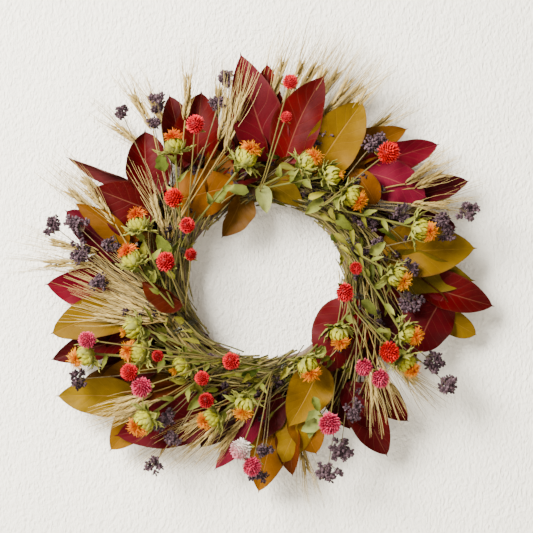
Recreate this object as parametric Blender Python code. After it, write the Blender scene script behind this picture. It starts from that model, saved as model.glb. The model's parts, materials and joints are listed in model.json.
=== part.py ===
"""Harvest door wreath: dried bouquets wired round a grapevine ring, with a wire hanging loop.

The wreath hangs with its back against a wall at y = 0 and faces -Y, with +Z up and +X to the right of
someone who looks at it. The origin is where the nail carries the hanging loop.

Eight bouquets are laid clockwise round the ring. Each one is five sprays (leaves, wheat, oregano,
safflowers and globe amaranths) whose stems meet in a binding of paddle wire at the bouquet's neck.
The arrangement is a list of plan positions (x, z), in millimetres from the centre of a ring of
DRAWN_RING_RADIUS. Everything moves in or out with the ring when RING_RADIUS changes.
"""

from math import asin, atan2, cos, degrees, pi, radians, sin

import bmesh
import bpy
from mathutils import Matrix, Vector
from mathutils.geometry import interpolate_bezier

MM = 0.001

# Grapevine ring
DRAWN_RING_RADIUS = 94.0
RING_RADIUS = 94.0
CANE_COUNT = 5
CANE_RADIUS = 5.0
CANE_GAP = 0.8
CANE_TURNS = 2
CANE_STEPS = 36
VINE_WRAP_RADIUS = 1.4
VINE_WRAP_CLOCKS = (140, 320)

# Bindings and hanging loop
PADDLE_WIRE_RADIUS = 0.5
BINDING_TURNS = 2
WIRE_STEPS = 12
BINDING_PITCH = 2.2
HANGER_WIRE_RADIUS = 1.0
HANGER_EYE_RADIUS = 8.0
HANGER_RISE = 26.0

# Flowers and leaves
STEM_RADIUS = 0.8
GRIP_RADIUS = 2.3
GRIP_LENGTH = 16.0
LEAF_THICKNESS = 1.0
LEAF_LAYER_PITCH = 4.0
LEAF_LAYERS = 5
WHEAT_EAR_RADIUS = 3.2
AWN_LENGTH = 32.0
OREGANO_THICKNESS = 11.0
SAFFLOWER_BULB_RADIUS = 9.0
SAFFLOWER_TUFT_RADIUS = 7.5
AMARANTH_RADIUS = 9.0
TOUCH_GAP = 0.4

CANE_CIRCLE = (CANE_RADIUS + CANE_GAP) / sin(pi / CANE_COUNT)
BUNDLE_RADIUS = CANE_CIRCLE + CANE_RADIUS
GRIP_CIRCLE = BUNDLE_RADIUS + TOUCH_GAP + GRIP_RADIUS
BINDING_BACK = BUNDLE_RADIUS + TOUCH_GAP + PADDLE_WIRE_RADIUS
BINDING_FRONT = GRIP_CIRCLE + GRIP_RADIUS + TOUCH_GAP + PADDLE_WIRE_RADIUS
HANGER_COLLAR = BUNDLE_RADIUS + TOUCH_GAP + HANGER_WIRE_RADIUS
THICKEST_TIE = max(PADDLE_WIRE_RADIUS, HANGER_WIRE_RADIUS, VINE_WRAP_RADIUS)
TIE_CORNER = (BUNDLE_RADIUS + TOUCH_GAP + THICKEST_TIE) / cos(pi / WIRE_STEPS)
RING_STANDOFF = TIE_CORNER + THICKEST_TIE + TOUCH_GAP
HANGER_DROP = RING_RADIUS + HANGER_COLLAR + HANGER_RISE
RING_CENTRE = Vector((0, -RING_STANDOFF, -HANGER_DROP))

# How far in front of the ring's middle plane each kind of flower sits.
FRONT_LEAF = RING_STANDOFF
LEAF_TOP = (LEAF_LAYERS - 1) * LEAF_LAYER_PITCH + LEAF_THICKNESS
WHEAT_BAND = max(FRONT_LEAF, LEAF_TOP) + TOUCH_GAP + WHEAT_EAR_RADIUS + LEAF_THICKNESS
OREGANO_BAND = WHEAT_BAND + WHEAT_EAR_RADIUS + TOUCH_GAP + OREGANO_THICKNESS / 2
SAFFLOWER_BAND = OREGANO_BAND + OREGANO_THICKNESS / 2 + TOUCH_GAP + SAFFLOWER_BULB_RADIUS
AMARANTH_BAND = SAFFLOWER_BAND + SAFFLOWER_BULB_RADIUS + TOUCH_GAP + AMARANTH_RADIUS

# Angle of each spray's grip round the ring's section: 0 faces front, positive leans outwards.
GRIP_LEAN = {"leaves": 56, "wheat": 32, "oregano": 12, "safflowers": -8, "amaranths": -28}

# How far each kind of stem runs along the ring before it rises: the ones that end highest rise first.
RISE_RUN = {"wheat": 26, "oregano": 14, "safflowers": 11, "amaranths": 8}

BARK = ("vine_bark", (0.16, 0.09, 0.05), 0.85)
WIRE = ("paddle_wire", (0.10, 0.11, 0.09), 0.5)
LEAF_RED = ("red_leaf", (0.28, 0.01, 0.015), 0.5)
LEAF_ORANGE = ("orange_leaf", (0.62, 0.22, 0.02), 0.5)
STRAW = ("wheat_straw", (0.62, 0.48, 0.25), 0.7)
OREGANO = ("oregano_flower", (0.12, 0.08, 0.11), 0.8)
SAFFLOWER = ("safflower_floret", (0.85, 0.22, 0.02), 0.7)
AMARANTH = ("amaranth_bract", (0.65, 0.02, 0.06), 0.5)

# Clock angle of each bouquet's neck, in degrees clockwise from the top.
NECK_CLOCKS = (30, 65, 100, 168, 200, 240, 290, 350)

# Leaves of each bouquet: base, tip, width, layer (0 is next to the wall).
LEAVES = {
    1: (
        ((104, 113), (177, 137), 30, 2),
        ((109, 105), (161, 82), 38, 4),
        ((100, 112), (112, 82), 28, 3),
        ((150, 84), (205, 100), 28, 0),
        ((150, 60), (192, 53), 28, 1),
        ((84, 108), (120, 128), 26, 0),
    ),
    2: (
        ((128, 31), (212, 32), 48, 3),
        ((128, 14), (210, -1), 40, 2),
        ((164, -6), (230, -27), 36, 1),
        ((176, -24), (152, -72), 48, 4),
        ((182, -36), (214, -56), 24, 0),
    ),
    3: (
        ((107, -106), (143, -143), 30, 2),
        ((99, -112), (123, -177), 36, 1),
        ((84, -110), (112, -152), 28, 3),
    ),
    4: (
        ((36, -134), (15, -184), 32, 4),
        ((36, -130), (50, -176), 36, 3),
        ((14, -140), (-7, -214), 36, 1),
        ((26, -150), (27, -196), 24, 2),
        ((10, -120), (-17, -165), 30, 3),
        ((-8, -128), (-51, -190), 22, 4),
    ),
    5: (
        ((-62, -132), (-150, -157), 46, 3),
        ((-118, -122), (-155, -172), 34, 1),
        ((-84, -106), (-136, -118), 20, 4),
        ((-140, -118), (-209, -117), 36, 2),
        ((-150, -62), (-215, -81), 30, 1),
        ((-118, -50), (-160, -70), 28, 2),
    ),
    6: (
        ((-136, -32), (-215, -55), 38, 4),
        ((-152, -6), (-220, -4), 40, 1),
        ((-146, 26), (-200, 71), 30, 3),
        ((-144, 40), (-190, 78), 22, 4),
        ((-134, 40), (-144, 70), 18, 2),
    ),
    7: (
        ((-115, 70), (-172, 93), 42, 3),
        ((-115, 92), (-121, 150), 42, 2),
        ((-130, 96), (-199, 124), 16, 1),
        ((-68, 124), (-64, 189), 42, 3),
        ((-84, 122), (-96, 186), 36, 1),
        ((-56, 112), (-34, 141), 34, 2),
    ),
    8: (
        ((4, 132), (-25, 228), 46, 3),
        ((14, 140), (2, 219), 30, 2),
        ((24, 128), (59, 204), 40, 4),
        ((54, 114), (98, 178), 44, 3),
        ((80, 120), (143, 153), 30, 1),
    ),
}

# Loose leaves tucked in front of the ring: name, base, tip, width, extra lift off the ring.
FRONT_LEAVES = (
    ("rust_front_leaf", (-88, -20), (-122, -1), 26, 16.0),
    ("crimson_front_leaf", (88, -31), (60, -94), 52, 0.0),
    ("mustard_front_leaf", (50, -94), (24, -146), 40, 2.0),
    ("orange_front_leaf", (-82, 81), (-30, 94), 44, 0.0),
    ("olive_front_leaf", (2, 96), (36, 74), 24, 0.0),
)

# Wheat ears of each bouquet: foot of the ear, tip of the ear.
WHEAT = {
    1: (((146, 76), (184, 74)), ((150, 92), (178, 108))),
    3: (((112, -78), (128, -116)), ((104, -84), (112, -126)), ((120, -70), (146, -104))),
    4: (((-30, -128), (-60, -158)), ((-20, -138), (-46, -172))),
    5: (((-112, -112), (-150, -126)), ((-112, -122), (-150, -140))),
    6: (
        ((-108, -26), (-156, 0)),
        ((-110, -34), (-164, -10)),
        ((-112, -42), (-160, -24)),
        ((-98, 40), (-112, 86)),
        ((-150, 56), (-178, 94)),
        ((-166, 28), (-216, 36)),
        ((-168, 16), (-222, 16)),
    ),
    7: (((-46, 138), (-34, 184)), ((-36, 138), (-22, 186)), ((-80, 160), (-76, 206))),
    8: (
        ((2, 168), (20, 222)),
        ((16, 166), (38, 220)),
        ((34, 164), (62, 212)),
        ((54, 156), (86, 202)),
        ((70, 146), (104, 188)),
    ),
}

# Oregano clusters of each bouquet: centre, radius.
OREGANO_HEADS = {
    1: (((110, 137), 10), ((203, 71), 10), ((176, 62), 8), ((137, 68), 9), ((104, 60), 9)),
    2: (((146, 14), 8), ((142, -21), 13), ((182, 46), 7), ((112, 35), 7)),
    3: (((168, -82), 10), ((182, -104), 10), ((88, -128), 10), ((76, -168), 11), ((62, -192), 11)),
    4: (((0, -170), 8), ((-7, -194), 8)),
    5: (((-106, -141), 9), ((-93, -136), 7), ((-92, -160), 8), ((-111, -184), 8), ((-188, -99), 9)),
    6: (((-211, 54), 9), ((-188, 55), 10), ((-184, 28), 11), ((-154, 34), 8), ((-166, -3), 9)),
    7: (((-143, 168), 6), ((-107, 177), 9), ((-111, 156), 5), ((-38, 200), 8), ((-46, 178), 7)),
    8: (((58, 148), 8), ((47, 137), 6)),
}

# Safflowers of each bouquet: centre of the green bulb, centre of the orange tuft, and how much
# lower than the others it is tucked in.
SAFFLOWERS = {
    1: (((154, 51), (165, 48), 0), ((85, 84), (98, 76), 0)),
    2: (((130, 4), (141, -3), 0), ((141, -53), (151, -56), 0)),
    3: (((140, -82), (149, -93), 0), ((74, -53), (76, -64), 18), ((42, -84), (46, -93), 0)),
    4: (((-52, -137), (-65, -142), 0), ((-20, -123), (-22, -132), 0)),
    5: (
        ((-178, -75), (-195, -81), 0),
        ((-125, -72), (-138, -70), 0),
        ((-131, -48), (-142, -52), 0),
        ((-120, -139), (-129, -147), 0),
        ((-82, -85), (-90, -90), 0),
    ),
    6: (((-126, 55), (-128, 68), 0), ((-132, 20), (-138, 31), 0)),
    7: (((-90, 133), (-92, 150), 0), ((-19, 121), (-13, 132), 0)),
    8: (((42, 117), (51, 124), 0), ((66, 104), (75, 105), 0)),
}

# Globe amaranths of each bouquet: centre, size as a share of AMARANTH_RADIUS.
AMARANTHS = {
    1: (((122, 126), 1.15),),
    2: (((79, -12), 0.95), ((90, 12), 0.65)),
    3: (((123, -71), 1.05), ((114, -97), 1.0), ((98, -86), 0.9), ((64, -142), 1.15)),
    4: (((-33, -80), 0.9), ((-62, -97), 0.75), ((-58, -119), 0.8), ((-24, -167), 1.1), ((-13, -184), 1.0)),
    5: (((-176, -59), 0.9), ((-134, -91), 0.9), ((-122, -106), 1.05), ((-106, -75), 0.6)),
    6: (((-73, 25), 0.65), ((-98, 18), 1.0)),
    7: (((-69, 154), 0.95), ((-90, 81), 1.0), ((-77, 54), 0.8)),
    8: (((25, 196), 0.8), ((21, 161), 0.6)),
}


def clear_scene():
    for obj in list(bpy.data.objects):
        bpy.data.objects.remove(obj)


def material(look):
    name, colour, roughness = look
    made = bpy.data.materials.get(name)
    if made is None:
        made = bpy.data.materials.new(name)
        made.use_nodes = True
        shader = made.node_tree.nodes["Principled BSDF"]
        shader.inputs["Base Color"].default_value = (*colour, 1)
        shader.inputs["Roughness"].default_value = roughness
        shader.inputs["Metallic"].default_value = 1.0 if look is WIRE else 0.0
    return made


def in_front(plan, forward):
    """The point in millimetres at plan position (x, z), this far in front of the ring's middle plane."""
    return RING_CENTRE + Vector((plan[0], -forward, plan[1]))


def at_clock(clock, radius):
    """The plan position at this clock angle and distance from the ring's centre."""
    return Vector((sin(radians(clock)) * radius, cos(radians(clock)) * radius))


def spread(plan):
    """A plan position drawn for DRAWN_RING_RADIUS, moved in or out with the ring."""
    drawn = Vector(plan)
    return drawn.normalized() * (drawn.length + RING_RADIUS - DRAWN_RING_RADIUS)


def spread_pair(start, end):
    """Two drawn positions, moved with the ring as one rigid piece."""
    middle = (Vector(start) + Vector(end)) / 2
    shift = spread(middle) - middle
    return Vector(start) + shift, Vector(end) + shift


def section_point(clock, lean, reach):
    """A point round the ring's section: lean 0 is straight in front, 90 is outwards."""
    radius = RING_RADIUS + reach * sin(radians(lean))
    return in_front(at_clock(clock, radius), reach * cos(radians(lean)))


def round_the_section(reach):
    """The reach of a coil's corners, so that its straight steps stay clear of a circle of this reach."""
    return reach / cos(pi / WIRE_STEPS)


def named(name, mesh, look):
    obj = bpy.data.objects.new(name, mesh)
    bpy.context.scene.collection.objects.link(obj)
    mesh.materials.clear()
    mesh.materials.append(material(look))
    return obj


def evaluated_mesh(obj):
    """The object's mesh with its curve or modifiers worked out. The object itself is removed."""
    bpy.context.view_layer.update()
    graph = bpy.context.evaluated_depsgraph_get()
    mesh = bpy.data.meshes.new_from_object(obj.evaluated_get(graph))
    bpy.data.objects.remove(obj)
    return mesh


def closed_up(mesh):
    """Merges the doubles that a curve leaves at its caps and turns all faces outwards."""
    work = bmesh.new()
    work.from_mesh(mesh)
    bmesh.ops.remove_doubles(work, verts=work.verts, dist=0.01 * MM)
    bmesh.ops.recalc_face_normals(work, faces=work.faces)
    work.to_mesh(mesh)
    work.free()
    return mesh


def rod(points, radius, sides=4, swell=None, loop=False):
    """A round rod along points in millimetres. swell is the radius at each point as a share of radius."""
    curve = bpy.data.curves.new("rod", "CURVE")
    curve.dimensions = "3D"
    curve.bevel_depth = radius * MM
    curve.bevel_resolution = (sides - 4) // 2
    curve.use_fill_caps = not loop
    spline = curve.splines.new("POLY")
    spline.points.add(len(points) - 1)
    spline.use_cyclic_u = loop
    for index, point in enumerate(points):
        spline.points[index].co = (*(point * MM), 1)
        spline.points[index].radius = swell[index] if swell else 1
    obj = bpy.data.objects.new("rod", curve)
    bpy.context.scene.collection.objects.link(obj)
    return closed_up(evaluated_mesh(obj))


def ball(centre, radii, segments=8, rings=4, axis=None):
    """An ellipsoid in millimetres. axis is the direction that its third radius lies along."""
    work = bmesh.new()
    bmesh.ops.create_uvsphere(work, u_segments=segments, v_segments=rings, radius=MM)
    turn = (axis or Vector((0, 0, 1))).to_track_quat("Z", "Y").to_matrix().to_4x4()
    place = Matrix.Translation(centre * MM) @ turn @ Matrix.Diagonal((*radii, 1))
    bmesh.ops.transform(work, matrix=place, verts=work.verts)
    mesh = bpy.data.meshes.new("ball")
    work.to_mesh(mesh)
    work.free()
    return mesh


def tuft(foot, head, foot_radius, head_radius, segments=7):
    """A blunt cone that widens from foot to head, for a brush of florets."""
    work = bmesh.new()
    along = head - foot
    bmesh.ops.create_cone(
        work,
        cap_ends=True,
        segments=segments,
        radius1=foot_radius * MM,
        radius2=head_radius * MM,
        depth=along.length * MM,
    )
    turn = along.to_track_quat("Z", "Y").to_matrix().to_4x4()
    place = Matrix.Translation((foot + head) / 2 * MM) @ turn
    bmesh.ops.transform(work, matrix=place, verts=work.verts)
    mesh = bpy.data.meshes.new("tuft")
    work.to_mesh(mesh)
    work.free()
    return mesh


def blade(base, tip, width, forward):
    """A flat leaf with a round base and a pointed tip, LEAF_THICKNESS thick."""
    along = tip - base
    across = Vector((-along.y, along.x)).normalized() * width / 2
    stations = ((0.1, 0.55), (0.3, 0.95), (0.52, 0.98), (0.78, 0.6))
    side = [(share, out) for share, out in stations]
    outline = [(0, 0), *side, (1, 0), *((share, -out) for share, out in reversed(side))]
    work = bmesh.new()
    corners = [
        work.verts.new(in_front(base + along * share + across * out, forward) * MM)
        for share, out in outline
    ]
    face = work.faces.new(corners)
    grown = bmesh.ops.extrude_face_region(work, geom=[face])["geom"]
    moved = [item for item in grown if isinstance(item, bmesh.types.BMVert)]
    bmesh.ops.translate(work, verts=moved, vec=(0, -LEAF_THICKNESS * MM, 0))
    bmesh.ops.recalc_face_normals(work, faces=work.faces)
    mesh = bpy.data.meshes.new("blade")
    work.to_mesh(mesh)
    work.free()
    return mesh


def fill_pockets(mesh):
    """Removes the inner walls of any pocket that is closed in between stems, so that it is solid."""
    work = bmesh.new()
    work.from_mesh(mesh)
    bmesh.ops.triangulate(work, faces=work.faces)
    unseen = set(work.faces)
    while unseen:
        shell = [unseen.pop()]
        for face in shell:
            for edge in (edge for edge in face.edges if len(edge.link_faces) == 2):
                nearby = [other for other in edge.link_faces if other in unseen]
                unseen.difference_update(nearby)
                shell.extend(nearby)
        corner = shell[0].verts[0].co
        heights = ((face.calc_center_median() - corner).dot(face.normal) for face in shell)
        if sum(height * face.calc_area() for height, face in zip(heights, shell)) < 0:
            bmesh.ops.delete(work, geom=shell, context="FACES")
    work.to_mesh(mesh)
    work.free()
    return mesh


def joined(name, shapes, look):
    """One solid from overlapping shapes. The first is the body that the others are added to."""
    obj = named(name, shapes[0], look)
    helpers = bpy.data.collections.new("helpers")
    for shape in shapes[1:]:
        helper = bpy.data.objects.new("helper", shape)
        helper.hide_render = True
        helper.display_type = "WIRE"
        helpers.objects.link(helper)
    bpy.context.scene.collection.children.link(helpers)
    union = obj.modifiers.new("union", "BOOLEAN")
    union.operation = "UNION"
    union.operand_type = "COLLECTION"
    union.collection = helpers
    union.solver = "EXACT"
    mesh = evaluated_mesh(obj)
    for helper in list(helpers.objects):
        bpy.data.objects.remove(helper)
    bpy.data.collections.remove(helpers)
    return named(name, fill_pockets(mesh), look)


def grip(neck, lean):
    """The short bound bundle where a spray's stems meet."""
    half = degrees(GRIP_LENGTH / 2 / RING_RADIUS)
    ends = [section_point(neck + side * half, lean, GRIP_CIRCLE) for side in (-1, 0, 1)]
    return rod(ends, GRIP_RADIUS, sides=6)


def stem_start(neck, kind, place):
    """A point inside the leading end of a grip. Each place is its own spot in the bundle."""
    inside = degrees((GRIP_LENGTH / 2 - 2) / RING_RADIUS)
    aside = GRIP_RADIUS / 2
    lean = GRIP_LEAN[kind] + degrees(aside / GRIP_CIRCLE) * cos(2.4 * place)
    return section_point(neck + inside, lean, GRIP_CIRCLE + aside * sin(2.4 * place))


def stem_route(neck, kind, place, end_plan, forward, steps=4):
    """From inside the grip, along the ring, then rising to the flower at its own depth."""
    start = stem_start(neck, kind, place)
    end = in_front(end_plan, forward)
    run = min(RISE_RUN[kind], (end - start).length * 0.4)
    tangent = Vector((cos(radians(neck)), 0, -sin(radians(neck))))
    lift = Vector((0, -1, 0)) * (start.y - end.y)
    first = start + tangent * run + lift
    second = Vector((start.x, end.y, start.z)).lerp(end, 0.5)
    return interpolate_bezier(start, first, second, end, steps)


def petiole(neck, place, base, blade_start, forward):
    """A leaf's stalk: off the grip to the outside of the ring, then in its own layer to the blade."""
    start = stem_start(neck, "leaves", place)
    shoulder_clock = neck + degrees((GRIP_LENGTH / 2 + 3) / RING_RADIUS)
    shoulder_radius = RING_RADIUS + RING_STANDOFF + STEM_RADIUS
    shoulder = in_front(at_clock(shoulder_clock, shoulder_radius), forward)
    return [start, shoulder, in_front(base, forward), in_front(blade_start, forward)]


def make_canes():
    """The grapevine canes, twisted round each other like a rope."""
    for number in range(CANE_COUNT):
        phase = 360 * number / CANE_COUNT
        route = [
            section_point(
                360 * step / CANE_STEPS,
                phase + CANE_TURNS * 360 * step / CANE_STEPS,
                CANE_CIRCLE,
            )
            for step in range(CANE_STEPS)
        ]
        named(f"vine_cane_{number + 1}", rod(route, CANE_RADIUS, sides=6, loop=True), BARK)


def make_vine_wraps():
    """Thin tendrils that tie the canes together: one turn and a half each."""
    reach = round_the_section(BUNDLE_RADIUS + TOUCH_GAP + VINE_WRAP_RADIUS)
    pitch = degrees(3.2 * VINE_WRAP_RADIUS / RING_RADIUS)
    steps = 3 * WIRE_STEPS // 2
    for number, clock in enumerate(VINE_WRAP_CLOCKS):
        turns = [step / WIRE_STEPS for step in range(steps + 1)]
        route = [section_point(clock + turn * pitch, 360 * turn, reach) for turn in turns]
        named(f"vine_wrap_{number + 1}", rod(route, VINE_WRAP_RADIUS), BARK)


def binding_reach(lean):
    """How far the paddle wire runs from the ring's middle: wide in front over the grips, close behind."""
    middle = (max(GRIP_LEAN.values()) + min(GRIP_LEAN.values())) / 2
    flat = (max(GRIP_LEAN.values()) - min(GRIP_LEAN.values())) / 2 + degrees(
        2 * asin(GRIP_RADIUS / GRIP_CIRCLE)
    )
    away = abs((lean - middle + 180) % 360 - 180)
    ease = min(1, max(0, (away - flat) / (180 - flat)))
    reach = BINDING_FRONT + (BINDING_BACK - BINDING_FRONT) * ease * ease * (3 - 2 * ease)
    return round_the_section(reach)


def make_bindings():
    steps = WIRE_STEPS * BINDING_TURNS
    pitch = degrees(BINDING_PITCH / RING_RADIUS)
    for number, neck in enumerate(NECK_CLOCKS, 1):
        route = []
        for step in range(steps + 1):
            turn = step / WIRE_STEPS
            lean = 180 + 360 * turn
            clock = neck + (turn - BINDING_TURNS / 2) * pitch
            route.append(section_point(clock, lean, binding_reach(lean)))
        named(f"bouquet_{number}_binding", rod(route, PADDLE_WIRE_RADIUS), WIRE)


def make_hanger():
    """A wire collar round the ring at twelve o'clock, a twisted neck and an eye for the nail."""
    turns = [360 * step / WIRE_STEPS for step in range(WIRE_STEPS)]
    collar = [section_point(0, turn, round_the_section(HANGER_COLLAR)) for turn in turns]
    eye_centre = Vector((0, -HANGER_WIRE_RADIUS - TOUCH_GAP, HANGER_WIRE_RADIUS - HANGER_EYE_RADIUS))
    eye = [
        eye_centre + Vector((sin(radians(turn)), 0, cos(radians(turn)))) * HANGER_EYE_RADIUS
        for turn in turns
    ]
    foot = section_point(0, 125, HANGER_COLLAR)
    shoulder = section_point(0, 125, HANGER_COLLAR + 5)
    top = eye_centre - Vector((0, 0, HANGER_EYE_RADIUS))
    bend = Vector((0, top.y, (shoulder.z + top.z) / 2))
    neck = interpolate_bezier(foot, shoulder, bend, top, 6)
    shapes = [
        rod(neck, 1.7 * HANGER_WIRE_RADIUS, sides=6),
        rod(collar, HANGER_WIRE_RADIUS, sides=6, loop=True),
        rod(eye, HANGER_WIRE_RADIUS, sides=6, loop=True),
    ]
    loop = joined("hanging_loop", shapes, WIRE)
    hinge = section_point(0, 0, 0) * MM
    loop.data.transform(Matrix.Translation(-hinge))
    loop.location = hinge


def make_leaf_spray(number, neck):
    body = grip(neck, GRIP_LEAN["leaves"])
    shapes = [body]
    for place, (drawn_base, drawn_tip, width, layer) in enumerate(LEAVES[number]):
        base, tip = spread_pair(drawn_base, drawn_tip)
        forward = layer * LEAF_LAYER_PITCH
        middle = forward + LEAF_THICKNESS / 2
        shapes.append(blade(base, tip, width, forward))
        route = petiole(neck, place, base, base.lerp(tip, 0.25), middle)
        shapes.append(rod(route, STEM_RADIUS, swell=(1, 1, 1, 0.7)))
    joined(f"bouquet_{number}_leaves", shapes, LEAF_RED)


def make_front_leaves():
    """Single leaves tucked under the stems, with a short stalk that points back to the ring."""
    for name, drawn_base, drawn_tip, width, lift in FRONT_LEAVES:
        base, tip = spread_pair(drawn_base, drawn_tip)
        forward = FRONT_LEAF + lift
        middle = forward + LEAF_THICKNESS / 2
        foot = base + (base - tip).normalized() * 6
        route = [in_front(foot, middle), in_front(base, middle), in_front(base.lerp(tip, 0.25), middle)]
        shapes = [blade(base, tip, width, forward), rod(route, STEM_RADIUS, swell=(1, 1, 0.7))]
        joined(name, shapes, LEAF_ORANGE)


def make_wheat_spray(number, neck):
    body = grip(neck, GRIP_LEAN["wheat"])
    shapes = [body]
    slim = STEM_RADIUS / WHEAT_EAR_RADIUS
    for place, (drawn_foot, drawn_tip) in enumerate(WHEAT[number]):
        foot, tip = spread_pair(drawn_foot, drawn_tip)
        stem = stem_route(neck, "wheat", place, foot, WHEAT_BAND)
        awn = tip + (tip - foot).normalized() * AWN_LENGTH
        ear = [(foot.lerp(tip, 0.15), 1), (foot.lerp(tip, 0.7), 0.95), (tip, 0.5), (awn, 0.15)]
        route = stem + [in_front(plan, WHEAT_BAND) for plan, _ in ear]
        swell = [slim] * len(stem) + [share for _, share in ear]
        shapes.append(rod(route, WHEAT_EAR_RADIUS, swell=swell))
    joined(f"bouquet_{number}_wheat", shapes, STRAW)


def make_oregano_spray(number, neck):
    body = grip(neck, GRIP_LEAN["oregano"])
    shapes = [body]
    for place, (drawn, radius) in enumerate(OREGANO_HEADS[number]):
        centre = spread(drawn)
        route = stem_route(neck, "oregano", place, centre, OREGANO_BAND)
        shapes.append(rod(route, STEM_RADIUS))
        radii = (radius, radius, OREGANO_THICKNESS / 2)
        shapes.append(ball(in_front(centre, OREGANO_BAND), radii, 6, 4, axis=Vector((0, -1, 0))))
    joined(f"bouquet_{number}_oregano", shapes, OREGANO)


def make_safflower_spray(number, neck):
    body = grip(neck, GRIP_LEAN["safflowers"])
    shapes = [body]
    for place, (drawn_bulb, drawn_tuft, sink) in enumerate(SAFFLOWERS[number]):
        bulb, crown = spread_pair(drawn_bulb, drawn_tuft)
        forward = SAFFLOWER_BAND - sink
        route = stem_route(neck, "safflowers", place, bulb, forward)
        shapes.append(rod(route, STEM_RADIUS * 1.3))
        centre = in_front(bulb, forward)
        shapes.append(ball(centre, [SAFFLOWER_BULB_RADIUS] * 3))
        direction = (in_front(crown, forward + 3) - centre).normalized()
        head = centre + direction * (SAFFLOWER_BULB_RADIUS + 0.8 * SAFFLOWER_TUFT_RADIUS)
        foot = centre + direction * 0.5 * SAFFLOWER_BULB_RADIUS
        shapes.append(tuft(foot, head, 0.4 * SAFFLOWER_TUFT_RADIUS, SAFFLOWER_TUFT_RADIUS))
    joined(f"bouquet_{number}_safflowers", shapes, SAFFLOWER)


def make_amaranth_spray(number, neck):
    body = grip(neck, GRIP_LEAN["amaranths"])
    shapes = [body]
    for place, (drawn, share) in enumerate(AMARANTHS[number]):
        centre = spread(drawn)
        route = stem_route(neck, "amaranths", place, centre, AMARANTH_BAND)
        shapes.append(rod(route, STEM_RADIUS))
        shapes.append(ball(in_front(centre, AMARANTH_BAND), [AMARANTH_RADIUS * share] * 3, 8, 5))
    joined(f"bouquet_{number}_amaranths", shapes, AMARANTH)


def main():
    clear_scene()
    make_canes()
    make_vine_wraps()
    make_bindings()
    make_hanger()
    for number, neck in enumerate(NECK_CLOCKS, 1):
        make_leaf_spray(number, neck)
        if number in WHEAT:
            make_wheat_spray(number, neck)
        make_oregano_spray(number, neck)
        make_safflower_spray(number, neck)
        make_amaranth_spray(number, neck)
    make_front_leaves()


main()
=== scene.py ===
import json
from math import cos, degrees, pi, radians, sin

import bmesh
import bpy
import numpy as np
from bpy.props import FloatProperty, FloatVectorProperty, IntProperty, PointerProperty
from bpy.types import Operator, Panel, PropertyGroup
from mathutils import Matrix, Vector


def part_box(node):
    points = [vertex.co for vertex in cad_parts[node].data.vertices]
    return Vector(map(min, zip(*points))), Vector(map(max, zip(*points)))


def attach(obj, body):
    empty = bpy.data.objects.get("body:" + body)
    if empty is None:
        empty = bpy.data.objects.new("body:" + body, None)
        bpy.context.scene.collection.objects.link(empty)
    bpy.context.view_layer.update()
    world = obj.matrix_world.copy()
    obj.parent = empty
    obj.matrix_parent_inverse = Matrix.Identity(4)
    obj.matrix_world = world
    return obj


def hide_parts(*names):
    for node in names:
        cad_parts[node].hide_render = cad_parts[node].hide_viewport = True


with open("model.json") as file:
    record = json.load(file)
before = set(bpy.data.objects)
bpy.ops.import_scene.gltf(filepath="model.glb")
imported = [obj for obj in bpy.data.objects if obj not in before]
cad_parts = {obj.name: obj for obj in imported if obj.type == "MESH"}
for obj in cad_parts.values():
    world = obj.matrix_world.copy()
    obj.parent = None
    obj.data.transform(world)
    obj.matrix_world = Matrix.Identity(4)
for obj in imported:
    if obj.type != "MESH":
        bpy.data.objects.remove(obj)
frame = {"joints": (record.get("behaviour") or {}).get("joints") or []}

bl_info = {
    "name": "Harvest Door Wreath",
    "version": (1, 0, 0),
    "blender": (4, 5, 0),
    "location": "3D View > Sidebar > Wreath",
    "description": "Dried leaves, wheat and flowers on the packed model of a grapevine wreath",
    "category": "Object",
}

# Everything below is laid out in millimetres from the ring's middle: x to the right, y into the wall, z up.
MM = 0.001
RING_RADIUS = 94.0
HINGE = Vector(frame["joints"][0]["pos_m"])
RING_CENTRE = np.array([HINGE.x, HINGE.y, HINGE.z - RING_RADIUS * MM])

# The ring: canes twisted about its line, and the tendrils that tie them.
CANE_COUNT = 5
CANE_TURNS = 2
CANE_CIRCLE = 9.868
CANE_STEPS = 181
TENDRIL_CLOCKS = (140, 320)
TENDRIL_REACH = 16.9
TENDRIL_TURNS = 1.5

# From the ring's line to the stems in a binding.
GRIP_CIRCLE = 17.6

# The hanging loop: its collar, which is a flat-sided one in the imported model, its eye and its neck.
COLLAR_REACH = 16.27
COLLAR_SIDES = 12
LOOP_STEPS = 73
EYE_RADIUS = 8.0
NECK_LEAN = 125

FRONT = (0, -1, 0)
# From the ring's middle to the point that the camera looks at, in metres.
AIM_SHIFT = (0.0015, -0.03, 0.0135)
# Seeds of a sunflower are set this far round from each other.
SPIRAL = 2.399963

# Depth in front of the ring's middle at which each kind lies.
WHEAT_BAND = 23.66
OREGANO_BAND = 32.76
SAFFLOWER_BAND = 47.66
AMARANTH_BAND = 66.06

# Clock angle of each bouquet's neck.
NECKS = {1: 30, 2: 65, 3: 100, 4: 168, 5: 200, 6: 240, 7: 290, 8: 350}
# Where each kind's stems lie round the ring's section, and how far they run before they rise.
LEAN = {"leaves": 56, "wheat": 32, "oregano": 12, "safflowers": -8, "amaranths": -28}
RISE_RUN = {"wheat": 26, "oregano": 14, "safflowers": 11, "amaranths": 8}

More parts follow.
